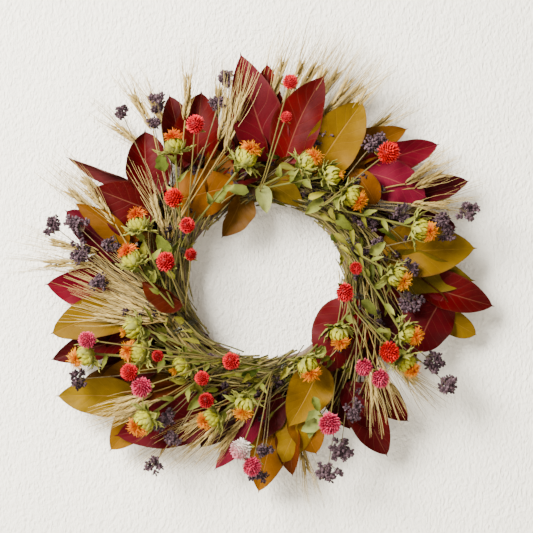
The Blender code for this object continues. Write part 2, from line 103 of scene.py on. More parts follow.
# Leaves of each bouquet: base, tip, width, depth, colour at the base, colour at the tip, roll, cup.
LEAVES = {
    1: (
        ((104, 113), (177, 137), 32, 8, "8E1B2E", "A8283E", -22, 0.10),
        ((109, 105), (163, 82), 40, 17, "A82442", "BE3654", 6, -0.10),
        ((100, 112), (112, 82), 28, 12, "C8780F", "CC8414", 14, 0.14),
        ((150, 84), (207, 100), 28, 0, "5A1218", "74202C", 20, 0.2),
        ((150, 60), (194, 53), 28, 4, "46101A", "5A1422", -15, 0.2),
        ((84, 108), (122, 128), 28, 0, "A0640E", "B07414", 12, 0.15),
        ((108, 80), (86, 112), 28, 23, "AC680E", "B87614", 12, 0.15),
    ),
    2: (
        ((128, 31), (214, 32), 50, 12, "B8880C", "C79E22", 4, 0.08),
        ((128, 14), (212, -1), 42, 8, "98801C", "AC9226", -14, 0.12),
        ((164, -6), (232, -27), 38, 4, "7A1018", "6C0C16", 10, 0.22),
        ((176, -24), (152, -74), 50, 16, "7E1420", "8C1C26", 6, -0.14),
        ((182, -36), (214, -56), 24, 0, "AC861C", "B48C26", -10, 0.2),
    ),
    3: (
        ((107, -106), (145, -143), 32, 8, "7A0E16", "6C0C16", 16, 0.2),
        ((99, -112), (124, -179), 38, 4, "700C14", "640A14", -10, 0.18),
        ((84, -110), (114, -152), 30, 12, "66101A", "741420", 12, 0.15),
        ((95, -5), (110, -62), 18, 12, "4A0E16", "5A121C", 34, 0.2),
        ((108, -50), (154, -84), 36, 2, "4A1014", "601418", 8, 0.15),
        ((70, -106), (86, -152), 32, 2, "44100F", "5A1214", -8, 0.15),
    ),
    4: (
        ((36, -134), (15, -186), 34, 16, "C6981A", "D0A426", -6, -0.10),
        ((36, -130), (52, -176), 36, 12, "C08410", "B87810", 12, 0.12),
        ((14, -140), (-7, -216), 38, 4, "C88812", "C07C10", 8, 0.14),
        ((26, -150), (28, -198), 26, 8, "8E4C16", "7C3C14", -22, 0.2),
        ((10, -120), (-17, -166), 32, 12, "6C1214", "5A0E12", 18, 0.2),
        ((-8, -128), (-52, -192), 24, 16, "AC2A46", "BE3A54", -12, -0.08),
    ),
    5: (
        ((-62, -132), (-152, -157), 48, 12, "74121E", "861A28", 10, 0.12),
        ((-118, -122), (-157, -173), 36, 4, "BE861A", "C48C1C", -8, 0.15),
        ((-84, -106), (-138, -118), 22, 16, "A45412", "96460F", 30, 0.25),
        ((-140, -118), (-211, -117), 38, 8, "BC9424", "C8A230", 8, 0.12),
        ((-150, -62), (-217, -81), 32, 4, "6C1016", "5C0C14", -12, 0.22),
        ((-118, -50), (-162, -70), 30, 8, "741018", "640E18", 14, 0.2),
        ((-104, -96), (-168, -101), 36, 5, "8A5A18", "A06C1C", 12, 0.15),
        ((-112, -84), (-170, -88), 30, 2, "4A1014", "5A1418", -10, 0.2),
        ((-136, -96), (-184, -100), 30, 0, "5A3A10", "6E4614", 8, 0.15),
        ((-34, -126), (-66, -170), 34, 0, "3E1210", "561814", -8, 0.15),
    ),
    6: (
        ((-136, -32), (-217, -55), 40, 16, "AE8418", "B68E1E", -6, 0.1),
        ((-152, -6), (-222, -4), 42, 4, "9C1A30", "AE263E", 8, 0.15),
        ((-146, 26), (-202, 71), 32, 12, "641422", "781A2A", -10, 0.2),
        ((-144, 40), (-192, 78), 24, 16, "AE7410", "A66A0E", 12, 0.14),
        ((-134, 40), (-144, 70), 20, 8, "A45614", "964C12", -20, 0.2),
        ((-122, 10), (-182, 22), 32, 0, "5A1218", "681820", 10, 0.2),
    ),
    7: (
        ((-115, 70), (-174, 93), 44, 12, "680A12", "720C16", 8, 0.12),
        ((-115, 92), (-121, 152), 44, 8, "80181E", "7A1A1E", -12, 0.2),
        ((-130, 96), (-201, 124), 20, 4, "963840", "8A4440", 48, 0.3),
        ((-68, 124), (-64, 191), 44, 12, "840A14", "780A12", 10, 0.16),
        ((-84, 122), (-97, 188), 36, 4, "740E18", "6A0C16", -14, 0.2),
        ((-56, 112), (-32, 143), 36, 8, "8C1016", "840C14", 10, 0.16),
        ((-45, 82), (-54, 134), 34, 15, "A8640E", "B47010", -14, 0.14),
        ((-30, 112), (-34, 164), 32, 2, "4A0C10", "641014", 8, 0.15),
    ),
    8: (
        ((4, 132), (-25, 229), 50, 24, "7C1824", "8A2830", -8, 0.12),
        ((14, 140), (2, 220), 32, 8, "780C12", "86101A", 16, 0.2),
        ((24, 128), (60, 206), 46, 28, "840C18", "780A16", 8, 0.14),
        ((54, 114), (99, 180), 48, 27, "BC8A1A", "C49A24", -8, 0.1),
        ((80, 120), (145, 153), 32, 4, "B47C10", "A86C10", 14, 0.16),
        ((12, 110), (60, 119), 24, 20, "96641A", "A4721E", -16, 0.2),
        ((-24, 84), (-44, 42), 30, 14, "9A6A14", "8A5C12", 26, 0.3),
        ((-16, 98), (26, 108), 28, 20, "5A3A10", "7A5A1C", -18, 0.2),
        ((-8, 122), (-16, 158), 30, 17, "5A1014", "701016", 12, 0.2),
        ((-34, 98), (6, 118), 26, 17, "4A1012", "5A1414", 20, 0.2),
    ),
}

# Loose leaves in front of the ring.
FRONT_LEAVES = {
    "rust_front_leaf": ((-86, -21), (-124, -1), 26, 36, "5E1E10", "7E3416", 26, 0.42),
    "crimson_front_leaf": ((88, -29), (58, -96), 54, 19, "86121E", "74101A", 4, -0.10),
    "mustard_front_leaf": ((52, -92), (23, -148), 42, 24, "C2941A", "C89A20", 8, 0.12),
    "orange_front_leaf": ((-84, 80), (-26, 95), 46, 26, "C07C0E", "B8740C", -6, -0.10),
    "olive_front_leaf": ((0, 97), (38, 73), 26, 20, "A6862A", "AE8C26", 18, 0.2),
}

# Wheat ears of each bouquet: foot, tip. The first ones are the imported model's, the rest fill the sheaf.
WHEAT = {
    1: (((146, 76), (184, 74)), ((150, 92), (178, 108)), ((140, 96), (170, 118))),
    3: (((112, -78), (128, -116)), ((104, -84), (112, -126)), ((120, -70), (146, -104))),
    4: (((-30, -128), (-60, -158)), ((-20, -138), (-46, -172)), ((-44, -126), (-82, -150))),
    5: (((-112, -112), (-150, -126)), ((-112, -122), (-150, -140)), ((-96, -116), (-132, -134))),
    6: (
        ((-108, -26), (-156, 0)),
        ((-110, -34), (-164, -10)),
        ((-112, -42), (-160, -24)),
        ((-98, 40), (-112, 86)),
        ((-150, 56), (-178, 94)),
        ((-166, 28), (-216, 36)),
        ((-168, 16), (-222, 16)),
        ((-90, -36), (-140, -12)),
        ((-96, -42), (-146, -30)),
        ((-84, -30), (-130, 0)),
        ((-118, -20), (-168, 10)),
        ((-124, -44), (-172, -36)),
    ),
    7: (
        ((-46, 138), (-34, 184)),
        ((-36, 138), (-22, 186)),
        ((-80, 160), (-76, 206)),
        ((-40, 128), (-30, 172)),
        ((-112, 150), (-134, 188)),
    ),
    8: (
        ((2, 168), (20, 222)),
        ((16, 166), (38, 220)),
        ((34, 164), (62, 212)),
        ((54, 156), (86, 202)),
        ((70, 146), (104, 188)),
    ),
}

# Ears lifted over the next bouquet's first leaf: bouquet and place in its row.
LIFTED_EARS = {(7, 0): 12, (7, 1): 13, (7, 3): 11}

# Ears that lie behind the leaves, so that only their bristles show.
WHEAT_BEHIND = {
    1: (((120, 100), (158, 122)), ((140, 66), (186, 84))),
    3: (((112, -70), (154, -104)),),
    4: (((-36, -140), (-76, -170)), ((34, -150), (42, -196))),
    5: (((-120, -100), (-168, -108)), ((-74, -140), (-106, -172))),
    6: (((-146, 66), (-184, 104)), ((-156, 56), (-200, 90)), ((-150, 0), (-200, 12))),
    7: (((-96, 150), (-118, 186)), ((-118, 128), (-152, 158)), ((-52, 150), (-46, 196))),
    8: (
        ((26, 170), (50, 220)),
        ((62, 160), (98, 198)),
        ((44, 168), (76, 212)),
        ((86, 132), (126, 166)),
        ((-8, 160), (4, 214)),
    ),
}

# Oregano heads of each bouquet: middle, radius.
OREGANO_HEADS = {
    1: (((110, 137), 10), ((203, 71), 10), ((176, 62), 8), ((137, 68), 9), ((104, 60), 9)),
    2: (((146, 14), 8), ((142, -21), 13), ((182, 46), 7), ((112, 35), 7)),
    3: (((168, -82), 10), ((182, -104), 10), ((88, -128), 10), ((76, -168), 11), ((62, -192), 11)),
    4: (((0, -170), 8), ((-7, -194), 8)),
    5: (((-106, -141), 9), ((-93, -136), 7), ((-92, -160), 8), ((-111, -184), 8), ((-188, -99), 9)),
    6: (((-211, 54), 9), ((-188, 55), 10), ((-184, 28), 11), ((-154, 34), 8), ((-166, -3), 9)),
    7: (((-143, 168), 6), ((-107, 177), 9), ((-111, 156), 5), ((-38, 200), 8), ((-46, 178), 7)),
    8: (((58, 148), 8), ((47, 137), 6)),
}

# Safflowers of each bouquet: middle of the bulb, middle of the tuft, how far it is tucked in, floret colour.
SAFFLOWERS = {
    1: (((154, 51), (165, 48), 0, "orange"), ((85, 84), (98, 76), 0, "orange")),
    2: (((130, 4), (141, -3), 0, "amber"), ((141, -53), (151, -56), 0, "orange")),
    3: (
        ((140, -82), (149, -93), 0, "orange"),
        ((74, -53), (76, -64), 18, "orange"),
        ((42, -84), (46, -93), 0, "orange"),
    ),
    4: (((-52, -137), (-65, -142), 0, "orange"), ((-20, -123), (-22, -132), 0, "amber")),
    5: (
        ((-178, -75), (-195, -81), 0, "amber"),
        ((-125, -72), (-138, -70), 0, "orange"),
        ((-131, -48), (-142, -52), 0, "closed"),
        ((-120, -139), (-129, -147), 0, "orange"),
        ((-82, -85), (-90, -90), 0, "closed"),
    ),
    6: (((-126, 55), (-128, 68), 0, "scarlet"), ((-132, 20), (-138, 31), 0, "scarlet")),
    7: (((-90, 133), (-92, 150), 0, "scarlet"), ((-19, 121), (-13, 132), 0, "orange")),
    8: (((42, 117), (51, 124), 0, "orange"), ((66, 104), (75, 105), 0, "closed")),
}

# Globe amaranths of each bouquet: middle, size, colour.
AMARANTHS = {
    1: (((122, 126), 1.15, "bright"),),
    2: (((79, -12), 0.95, "red"), ((90, 12), 0.65, "red")),
    3: (
        ((123, -71), 1.05, "bright"),
        ((114, -97), 1.0, "pink"),
        ((98, -86), 0.9, "pink"),
        ((64, -142), 1.15, "pink"),
    ),
    4: (
        ((-33, -80), 0.9, "red"),
        ((-62, -97), 0.75, "red"),
        ((-58, -119), 0.8, "dark"),
        ((-24, -167), 1.1, "pale"),
        ((-13, -184), 1.0, "pink"),
    ),
    5: (
        ((-176, -59), 0.9, "pink"),
        ((-134, -91), 0.9, "red"),
        ((-122, -106), 1.05, "pink"),
        ((-106, -75), 0.6, "dark"),
    ),
    6: (((-73, 25), 0.65, "dark"), ((-98, 18), 1.0, "red")),
    7: (((-69, 154), 0.95, "rose"), ((-90, 81), 1.0, "bright"), ((-77, 54), 0.8, "red")),
    8: (((25, 196), 0.8, "rose"), ((21, 161), 0.6, "rose")),
}

# Flowers whose stems run under the leaves: kind, bouquet, place in its row.
LOW_STEMS = {
    ("amaranths", 3, 3),
    ("safflowers", 3, 2),
    ("amaranths", 4, 2),
    ("oregano", 3, 3),
    ("oregano", 3, 4),
}

FLORETS = {
    "orange": ("CC4404", "F48208", "FFC020"),
    "amber": ("DC6004", "FA9808", "FFCC20"),
    "scarlet": ("B02C02", "F05C04", "FFA414"),
    "closed": ("C8A040", "E09020", "F0B040"),
}
# Amaranth bract colours at the foot, middle and tip of each bract. Most kinds have a dark foot, which is
# painted shade between the bracts; the paler tip is partly the bract's own paler colour and partly a painted
# highlight.
BRACT_SHADE_AND_HIGHLIGHT_RAMPS = {
    "bright": ("900204", "E20408", "F0161E"),
    "red": ("84060E", "DE101E", "EE2E3E"),
    "dark": ("5C0408", "B00A12", "C82030"),
    "pink": ("8E142E", "D2264C", "EC6080"),
    "pale": ("E8D8C8", "D03C62", "EC6E90"),
    "rose": ("8E0A18", "E01422", "F03A48"),
}

# Safflower's outer bracts at their tips.
BRACT_TIP = np.array([0.27, 0.255, 0.05])

# Colours of the leaves behind the bouquets: dark leaf colours that also stand in for painted shade in the
# gaps next to the ring.
UNDER_LEAF_AND_SHADE_COLOURS = ("4A0E14", "5C1218", "3C1610", "5E3C12", "6E4C14", "480C12", "701018", "2E2410")

# Start of each kind's own run of chance.
SEEDS = {
    "ring": 11,
    "leaves": 100,
    "under leaves": 150,
    "front leaves": 200,
    "wheat": 300,
    "oregano": 400,
    "safflowers": 500,
    "amaranths": 600,
    "stems": 700,
}

# Tints of the canes, the wire and the leaf stalks.
BARK = "5A4030"
WIRE = "202420"
STALK = "6A3A1C"

# Single green leaves that stand out: base, tip, width, depth, colour, roll.
GREEN_LEAVES = {
    1: (((58, 82), (40, 66), 13, 34, "9AA45C", 10), ((70, 66), (88, 50), 12, 34, "7A8440", -20)),
    2: (((96, -20), (112, -36), 11, 40, "8A9450", 20), ((104, 26), (120, 38), 12, 40, "A0A860", -14)),
    3: (((60, -66), (46, -78), 12, 44, "96A058", 18), ((54, -140), (36, -150), 15, 46, "A4B070", 8)),
    4: (((52, -128), (44, -158), 16, 40, "9CAA68", -16), ((48, -116), (54, -132), 9, 40, "88944C", 12)),
    5: (
        ((-24, -96), (-4, -86), 11, 36, "5E7030", -24),
        ((-60, -112), (-78, -130), 12, 36, "8A9450", 18),
    ),
    6: (((-94, 24), (-108, 46), 15, 38, "8E9C50", 12), ((-110, 2), (-122, 14), 11, 36, "98A258", -20)),
    7: (((-100, 108), (-104, 128), 15, 34, "6E7E3C", 22), ((-50, 78), (-38, 90), 12, 34, "8A9450", 10)),
    8: (
        ((-4, 96), (2, 66), 18, 34, "AAB478", 6),
        ((-16, 88), (-40, 92), 12, 32, "98A460", -12),
        ((28, 110), (34, 92), 13, 36, "8A9648", 14),
    ),
}


def ink(code, depth=0.23, richness=1.15):
    """A colour chart's code as linear light, a little deeper and richer, as a dyed leaf is."""
    parts = np.array([int(code[i : i + 2], 16) for i in (0, 2, 4)]) / 255
    light = np.where(parts <= 0.04045, parts / 12.92, ((parts + 0.055) / 1.055) ** 2.4)
    middle = light @ (0.2126, 0.7152, 0.0722)
    return np.clip(middle + (light - middle) * richness, 0.002, 1) * depth


def leaf_green(code):
    """The colour of a dried green leaf."""
    return ink(code, 0.37, 1.15) * (1.08, 1.0, 0.82)


def opaque(colour, count):
    """The same colour for this many points, or one row per point with its alpha added."""
    rows = np.ones((count, 4), np.float32)
    rows[:, :3] = colour
    return rows


def mix(first, second, share):
    """A row of colour for each share: 0 gives the first, 1 the second."""
    share = np.asarray(share, float).reshape(-1, 1)
    return np.asarray(first) * (1 - share) + np.asarray(second) * share


def ramp(low, body, high, rise):
    """Low to body over the first half, body to high over the second."""
    return np.where((rise < 0.5)[:, None], mix(low, body, rise * 2), mix(body, high, rise * 2 - 1))


def unit(vector):
    """The same direction, 1 long."""
    vector = np.asarray(vector, float)
    return vector / (np.linalg.norm(vector, axis=-1, keepdims=True) + 1e-12)


# ---------------------------------------------------------------- patterns


class Pattern:
    """A small mesh kept ready. Copies of it are bent, tinted and gathered."""

    def __init__(self, name, mesh):
        self.mesh = bpy.data.meshes.new(name)
        mesh.to_mesh(self.mesh)
        mesh.free()
        if "Colour" not in self.mesh.color_attributes:
            self.mesh.color_attributes.new("Colour", "FLOAT_COLOR", "POINT")
        self.count = len(self.mesh.vertices)
        self.points = np.zeros(self.count * 3, np.float32)
        self.mesh.vertices.foreach_get("co", self.points)
        self.points = self.points.reshape(-1, 3).astype(float)
        self.marks = np.zeros(self.count * 4, np.float32)
        self.mesh.color_attributes["Colour"].data.foreach_get("color", self.marks)
        self.marks = self.marks.reshape(-1, 4).astype(float)


class Gathering:
    """Copies of patterns collected into one mesh."""

    def __init__(self):
        self.mesh = bmesh.new()

    def add(self, pattern, points, colours):
        pattern.mesh.vertices.foreach_set("co", np.ascontiguousarray(points, np.float32).ravel())
        ready = np.ndim(colours) == 2 and np.shape(colours)[1] == 4
        rows = colours if ready else opaque(colours, pattern.count)
        pattern.mesh.color_attributes["Colour"].data.foreach_set(
            "color", np.ascontiguousarray(rows, np.float32).ravel()
        )
        self.mesh.from_mesh(pattern.mesh)

    def pattern(self, name):
        return Pattern(name, self.mesh)

    def piece(self, name, finish, slot, body, *nodes):
        """The gathering as a finished piece, in metres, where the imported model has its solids."""
        mesh = bpy.data.meshes.new(name)
        bmesh.ops.scale(self.mesh, vec=(MM, MM, MM), verts=self.mesh.verts)
        bmesh.ops.translate(self.mesh, vec=RING_CENTRE, verts=self.mesh.verts)
        self.mesh.to_mesh(mesh)
        self.mesh.free()
        mesh.materials.append(finish)
        made = bpy.data.objects.new(name, mesh)
        bpy.context.scene.collection.objects.link(made)
        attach(made, body)
        if nodes:
            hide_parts(*nodes)
        return made


def flat_uv(mesh):
    """UVs straight from x and y, before the shape is bent."""
    layer = mesh.loops.layers.uv.new("UVMap")
    for face in mesh.faces:
        for loop in face.loops:
            loop[layer].uv = (loop.vert.co.x / 2 + 0.5, loop.vert.co.y / 2 + 0.5)


def round_uv(mesh):
    """UVs of a tube: once round in u, its length in v."""
    layer = mesh.loops.layers.uv.new("UVMap")
    for face in mesh.faces:
        turns = [(np.arctan2(loop.vert.co.y, loop.vert.co.x) / (2 * pi)) % 1 for loop in face.loops]
        if max(turns) - min(turns) > 0.5:
            turns = [turn + 1 if turn < 0.5 else turn for turn in turns]
        for loop, turn in zip(face.loops, turns):
            loop[layer].uv = (turn, loop.vert.co.z)


def smooth_faces(mesh, crease=60):
    """Smooth shading, with edges that bend more than the crease kept sharp."""
    for face in mesh.faces:
        face.smooth = True
    for edge in mesh.edges:
        if len(edge.link_faces) == 2 and edge.calc_face_angle(0) > radians(crease):
            edge.smooth = False


def make_leaf_pattern(name, across, along):
    """A flat leaf blank with two faces: x across, y along, z through."""
    mesh = bmesh.new()
    bmesh.ops.create_grid(mesh, x_segments=across, y_segments=along, size=1)
    flat_uv(mesh)
    bmesh.ops.solidify(mesh, geom=mesh.faces[:], thickness=0.1)
    smooth_faces(mesh)
    for vert in mesh.verts:
        vert.co.z = 0.5 if vert.co.z > -0.05 else -0.5
    return Pattern(name, mesh)


def make_tube_pattern(name, sides, cuts):
    """A tube along z from 0 to 1 with rings to bend at."""
    mesh = bmesh.new()
    bmesh.ops.create_cone(mesh, cap_ends=True, segments=sides, radius1=1, radius2=1, depth=1)
    bmesh.ops.translate(mesh, vec=(0, 0, 0.5), verts=mesh.verts)
    walls = [edge for edge in mesh.edges if abs(edge.verts[0].co.z - edge.verts[1].co.z) > 0.5]
    bmesh.ops.subdivide_edges(mesh, edges=walls, cuts=cuts, use_grid_fill=True)
    round_uv(mesh)
    smooth_faces(mesh, 75)
    return Pattern(name, mesh)


def make_ball_pattern(name, around, rings):
    """A ball about the origin, 1 unit in radius."""
    mesh = bmesh.new()
    bmesh.ops.create_uvsphere(mesh, u_segments=around, v_segments=rings, radius=1)
    smooth_faces(mesh, 180)
    return Pattern(name, mesh)


def make_bud_pattern():
    """A coarse ball for buds, which are repeated by the thousand."""
    mesh = bmesh.new()
    bmesh.ops.create_icosphere(mesh, subdivisions=1, radius=1)
    smooth_faces(mesh, 180)
    return Pattern("bud", mesh)


def make_bract_pattern():
    """A pointed scale: a flat four-sided cone with a fuller waist."""
    mesh = bmesh.new()
    bmesh.ops.create_cone(mesh, cap_ends=True, segments=4, radius1=0.6, radius2=0.02, depth=1)
    bmesh.ops.translate(mesh, vec=(0, 0, 0.5), verts=mesh.verts)
    walls = [edge for edge in mesh.edges if abs(edge.verts[0].co.z - edge.verts[1].co.z) > 0.5]
    bmesh.ops.subdivide_edges(mesh, edges=walls, cuts=1, use_grid_fill=True)
    waist = [vert for vert in mesh.verts if 0.3 < vert.co.z < 0.7]
    bmesh.ops.scale(mesh, vec=(3.0, 3.0, 1), verts=waist)
    bmesh.ops.scale(mesh, vec=(1, 0.3, 1), verts=mesh.verts)
    smooth_faces(mesh, 100)
    return Pattern("bract", mesh)


# ---------------------------------------------------------------- bending


def bezier(points, share):
    """Points at these shares of the curve that four points steer."""
    share = np.asarray(share, float).reshape(-1, 1)
    a, b, c, d = (np.asarray(p, float) for p in points)
    rest = 1 - share
    return a * rest**3 + b * 3 * share * rest**2 + c * 3 * share**2 * rest + d * share**3


def route_through(points, steps=10):
    """A smooth route through these points, as many short steps."""
    points = np.asarray(points, float)
    padded = np.vstack([2 * points[0] - points[1], points, 2 * points[-1] - points[-2]])
    made = []
    for k in range(1, len(padded) - 2):
        p, q, r, s = padded[k - 1 : k + 3]
        for t in np.arange(steps) / steps:
            bend = (2 * p - 5 * q + 4 * r - s) * t**2
            made.append(0.5 * (2 * q + (r - p) * t + bend + (3 * q - p - 3 * r + s) * t**3))
    return np.array(made + [points[-1]])


def sweep(pattern, route, thickness, beside=None):
    """The tube pattern laid along a route. thickness is a number, or one for each share of the length."""
    share = pattern.points[:, 2]
    steps = np.r_[0, np.cumsum(np.linalg.norm(np.diff(route, axis=0), axis=1))]
    steps /= steps[-1]
    tangent = unit(np.gradient(route, axis=0))
    if beside is None:
        whole = unit(route[-1] - route[0])
        beside = np.eye(3)[np.argmin(np.abs(whole))]
    beside = np.broadcast_to(np.asarray(beside, float), route.shape)
    middle = np.stack([np.interp(share, steps, route[:, k]) for k in range(3)], 1)
    along = unit(np.stack([np.interp(share, steps, tangent[:, k]) for k in range(3)], 1))
    side = np.stack([np.interp(share, steps, beside[:, k]) for k in range(3)], 1)
    side = unit(side - along * (side * along).sum(1, keepdims=True))
    other = np.cross(along, side)
    if not np.isscalar(thickness):
        thickness = np.interp(share, np.linspace(0, 1, len(thickness)), thickness).reshape(-1, 1)
    return middle + (side * pattern.points[:, :1] + other * pattern.points[:, 1:2]) * thickness


def turned(direction, roll=0.0):
    """Rows for x, y and z axes whose z runs along this direction."""
    z = unit(direction)
    x = unit(np.cross(np.eye(3)[np.argmin(np.abs(z))], z))
    y = np.cross(z, x)
    return np.array([x * cos(roll) + y * sin(roll), y * cos(roll) - x * sin(roll), z])


def set_at(pattern, origin, direction, size=1.0, roll=0.0):
    """The pattern's points with its z axis along a direction."""
    return np.asarray(origin) + (pattern.points * size) @ turned(direction, roll)


def leaf_outline(share, pointed):
    """Half width along a leaf, as a share of its widest: a round base, a drawn-out tip."""
    body = np.clip(share / 0.96, 0, 1)
    raw = body**0.48 * (1 - body) ** pointed
    top = 0.48 / (0.48 + pointed)
    drip = 0.13 * np.clip((1 - share) / 0.14, 0, 1)
    return np.maximum(raw / (top**0.48 * (1 - top) ** pointed), np.where(share > 0.5, drip, 0))


def bend_leaf(pattern, base, tip, face, width, thickness, roll=0, cup=0.1, arch=0.05, curl=0.0, bow=0.0,
              ripple=0.05, phase=0.0, pointed=0.8, twist=0):
    """The leaf blank laid from base to tip with its upper side towards face."""
    u, v, w = pattern.points[:, 0:1], pattern.points[:, 1:2] / 2 + 0.5, pattern.points[:, 2:3]
    base, tip = np.asarray(base, float), np.asarray(tip, float)
    length = np.linalg.norm(tip - base)
    along = unit(tip - base)
    up = unit(np.asarray(face, float) - along * np.dot(face, along))
    across = np.cross(along, up)
    half = width / 2 * leaf_outline(v, pointed)
    wave = np.sin(pi * v)
    middle = base + along * length * v + across * bow * length * wave
    middle = middle + up * length * (arch * wave + curl * v**3)
    turn = np.radians(roll + twist * (v - 0.5))
    side = across * np.cos(turn) + up * np.sin(turn)
    out = up * np.cos(turn) - across * np.sin(turn)
    ridge = ripple * np.sin(2 * pi * (2.6 * v + phase) + 1.3 * np.sign(u)) * u**2
    depth = half * (cup * np.abs(u) ** 1.6 * 1.6 + ridge)
    shrink = 1 - 0.25 * abs(cup)
    return middle + side * u * half * shrink + out * (depth + w * thickness)


def bend_small_leaf(pattern, foot, tip, chance, widths, roll, curl, **shape):
    """A small dry leaf that faces the front, rolled and curled by chance."""
    return bend_leaf(
        pattern,
        foot,
        tip,
        FRONT,
        chance.uniform(*widths),
        roll=chance.uniform(-roll, roll),
        curl=chance.uniform(-curl, curl),
        phase=chance.uniform(),
        **shape,
    )


def two_greens(pattern, foot_code, tip_code):
    """A leaf's tint from its foot to its tip."""
    return mix(leaf_green(foot_code), leaf_green(tip_code), pattern.points[:, 1] / 2 + 0.5)


# ---------------------------------------------------------------- places


def at(plan, depth):
    """A point at plan position (x, z), this deep in front of the ring's middle."""
    return np.array([plan[0], -depth, plan[1]], float)


def at_clock(clock, radius, depth=0.0):
    """A point at this clock angle and radius about the ring's middle."""
    return np.array([sin(radians(clock)) * radius, -depth, cos(radians(clock)) * radius])


def section(clock, lean, reach):
    """A point round the ring's section: lean 0 is in front, 90 outwards."""
    return at_clock(clock, RING_RADIUS + reach * sin(radians(lean)), reach * cos(radians(lean)))


def stem_start(neck, kind, place):
    """Where a stem leaves its bouquet's binding."""
    lean = LEAN[kind] + 4 * cos(2.4 * place)
    return section(neck + 3.6, lean, GRIP_CIRCLE + 1.15 * sin(2.4 * place))


def stem_route(neck, kind, place, end, low=False):
    """From the binding along the ring, then up to the flower. A low one starts under the leaves."""
    start = stem_start(neck, kind, place)
    tails = [
        section(neck - back, LEAN[kind] + 5 * cos(2.4 * place + back), reach + 1.5 * sin(2.4 * place))
        for back, reach in ((16 + 9 * cos(1.7 * place), 16.0), (7, GRIP_CIRCLE))
    ]
    run = min(RISE_RUN[kind], np.linalg.norm(end - start) * 0.4)
    along = np.array([cos(radians(neck)), 0, -sin(radians(neck))])
    first = start + along * run + np.array([0, end[1] - start[1], 0])
    second = (np.array([start[0], end[1], start[2]]) + end) / 2
    if low:
        first[1], second[1] = -4, 12
    return np.vstack([tails, bezier((start, first, second, end), np.linspace(0, 1, 14))])


# ---------------------------------------------------------------- finishes


class Finish:
    """A material in the making. Each call adds one node and gives back its output."""

    def __init__(self, name):
        self.material = bpy.data.materials.new(name)
        self.material.use_nodes = True
        self.tree = self.material.node_tree
        self.shader = self.tree.nodes["Principled BSDF"]

    def node(self, kind, **settings):
        made = self.tree.nodes.new(kind)
        for key, value in settings.items():
            setattr(made, key, value)
        return made

    def feed(self, socket, value):
        if isinstance(value, bpy.types.NodeSocket):
            self.tree.links.new(value, socket)
        else:
            socket.default_value = value

    def place(self):
        return self.node("ShaderNodeTexCoord").outputs["Object"]

    def map(self):
        return self.node("ShaderNodeUVMap", uv_map="UVMap").outputs["UV"]

    def stretched(self, vector, scale):
        made = self.node("ShaderNodeMapping")
        self.feed(made.inputs["Vector"], vector)
        made.inputs["Scale"].default_value = scale
        return made.outputs["Vector"]

    def tint(self):
        return self.node("ShaderNodeAttribute", attribute_name="Colour").outputs["Color"]

    def noise(self, vector, scale, detail=3.0, roughness=0.5):
        made = self.node("ShaderNodeTexNoise")
        self.feed(made.inputs["Vector"], vector)
        made.inputs["Scale"].default_value = scale
        made.inputs["Detail"].default_value = detail
        made.inputs["Roughness"].default_value = roughness
        return made.outputs["Fac"]

    def maths(self, operation, first, second=0.0, clamp=False):
        made = self.node("ShaderNodeMath", operation=operation, use_clamp=clamp)
        self.feed(made.inputs[0], first)
        self.feed(made.inputs[1], second)
        return made.outputs[0]

    def remap(self, value, low, high, to_low=0.0, to_high=1.0):
        made = self.node("ShaderNodeMapRange")
        self.feed(made.inputs["Value"], value)
        for name, number in (("From Min", low), ("From Max", high), ("To Min", to_low), ("To Max", to_high)):
            made.inputs[name].default_value = number
        return made.outputs["Result"]

    def blend(self, share, first, second, kind="MIX"):
        made = self.node("ShaderNodeMix", data_type="RGBA", blend_type=kind)
        self.feed(made.inputs["Factor"], share)
        self.feed(made.inputs[6], first)
        self.feed(made.inputs[7], second)
        return made.outputs[2]

    def bump(self, height, strength, distance):
        made = self.node("ShaderNodeBump")
        self.feed(made.inputs["Height"], height)
        made.inputs["Strength"].default_value = strength
        made.inputs["Distance"].default_value = distance
        self.tree.links.new(made.outputs["Normal"], self.shader.inputs["Normal"])

    def set(self, **values):
        for name, value in values.items():
            self.feed(self.shader.inputs[name.replace("_", " ")], value)
        return self.material


def grey(level):
    """A neutral colour."""
    return (level, level, level, 1.0)


def bark_finish(settings):
    """Dry bark: long fibres round the cane and paler patches."""
    finish = Finish("Grapevine bark")
    fibres = finish.noise(finish.stretched(finish.map(), (5, 90, 1)), 3.0, 6.0, 0.65)
    patches = finish.noise(finish.place(), 60.0, 4.0)
    colour = finish.blend(
        finish.remap(fibres, 0.35, 0.68), (*settings.bark_dark, 1), (*settings.bark_light, 1)
    )
    colour = finish.blend(finish.remap(patches, 0.5, 0.75, 0, 0.5), colour, (0.23, 0.17, 0.12, 1))
    finish.bump(fibres, 0.8, 0.0012)
    return finish.set(Base_Color=colour, Roughness=0.88)


def wire_finish(settings):
    """Lacquered florist's wire, rubbed bare in places."""
    finish = Finish("Lacquered wire")
    wear = finish.noise(finish.place(), 420.0, 3.0)
    colour = finish.blend(finish.remap(wear, 0.55, 0.72), (*settings.wire_colour, 1), (0.12, 0.12, 0.10, 1))
    return finish.set(
        Base_Color=colour, Roughness=finish.remap(wear, 0.3, 0.7, 0.32, 0.55), Metallic=0.6, Coat_Weight=0.3
    )


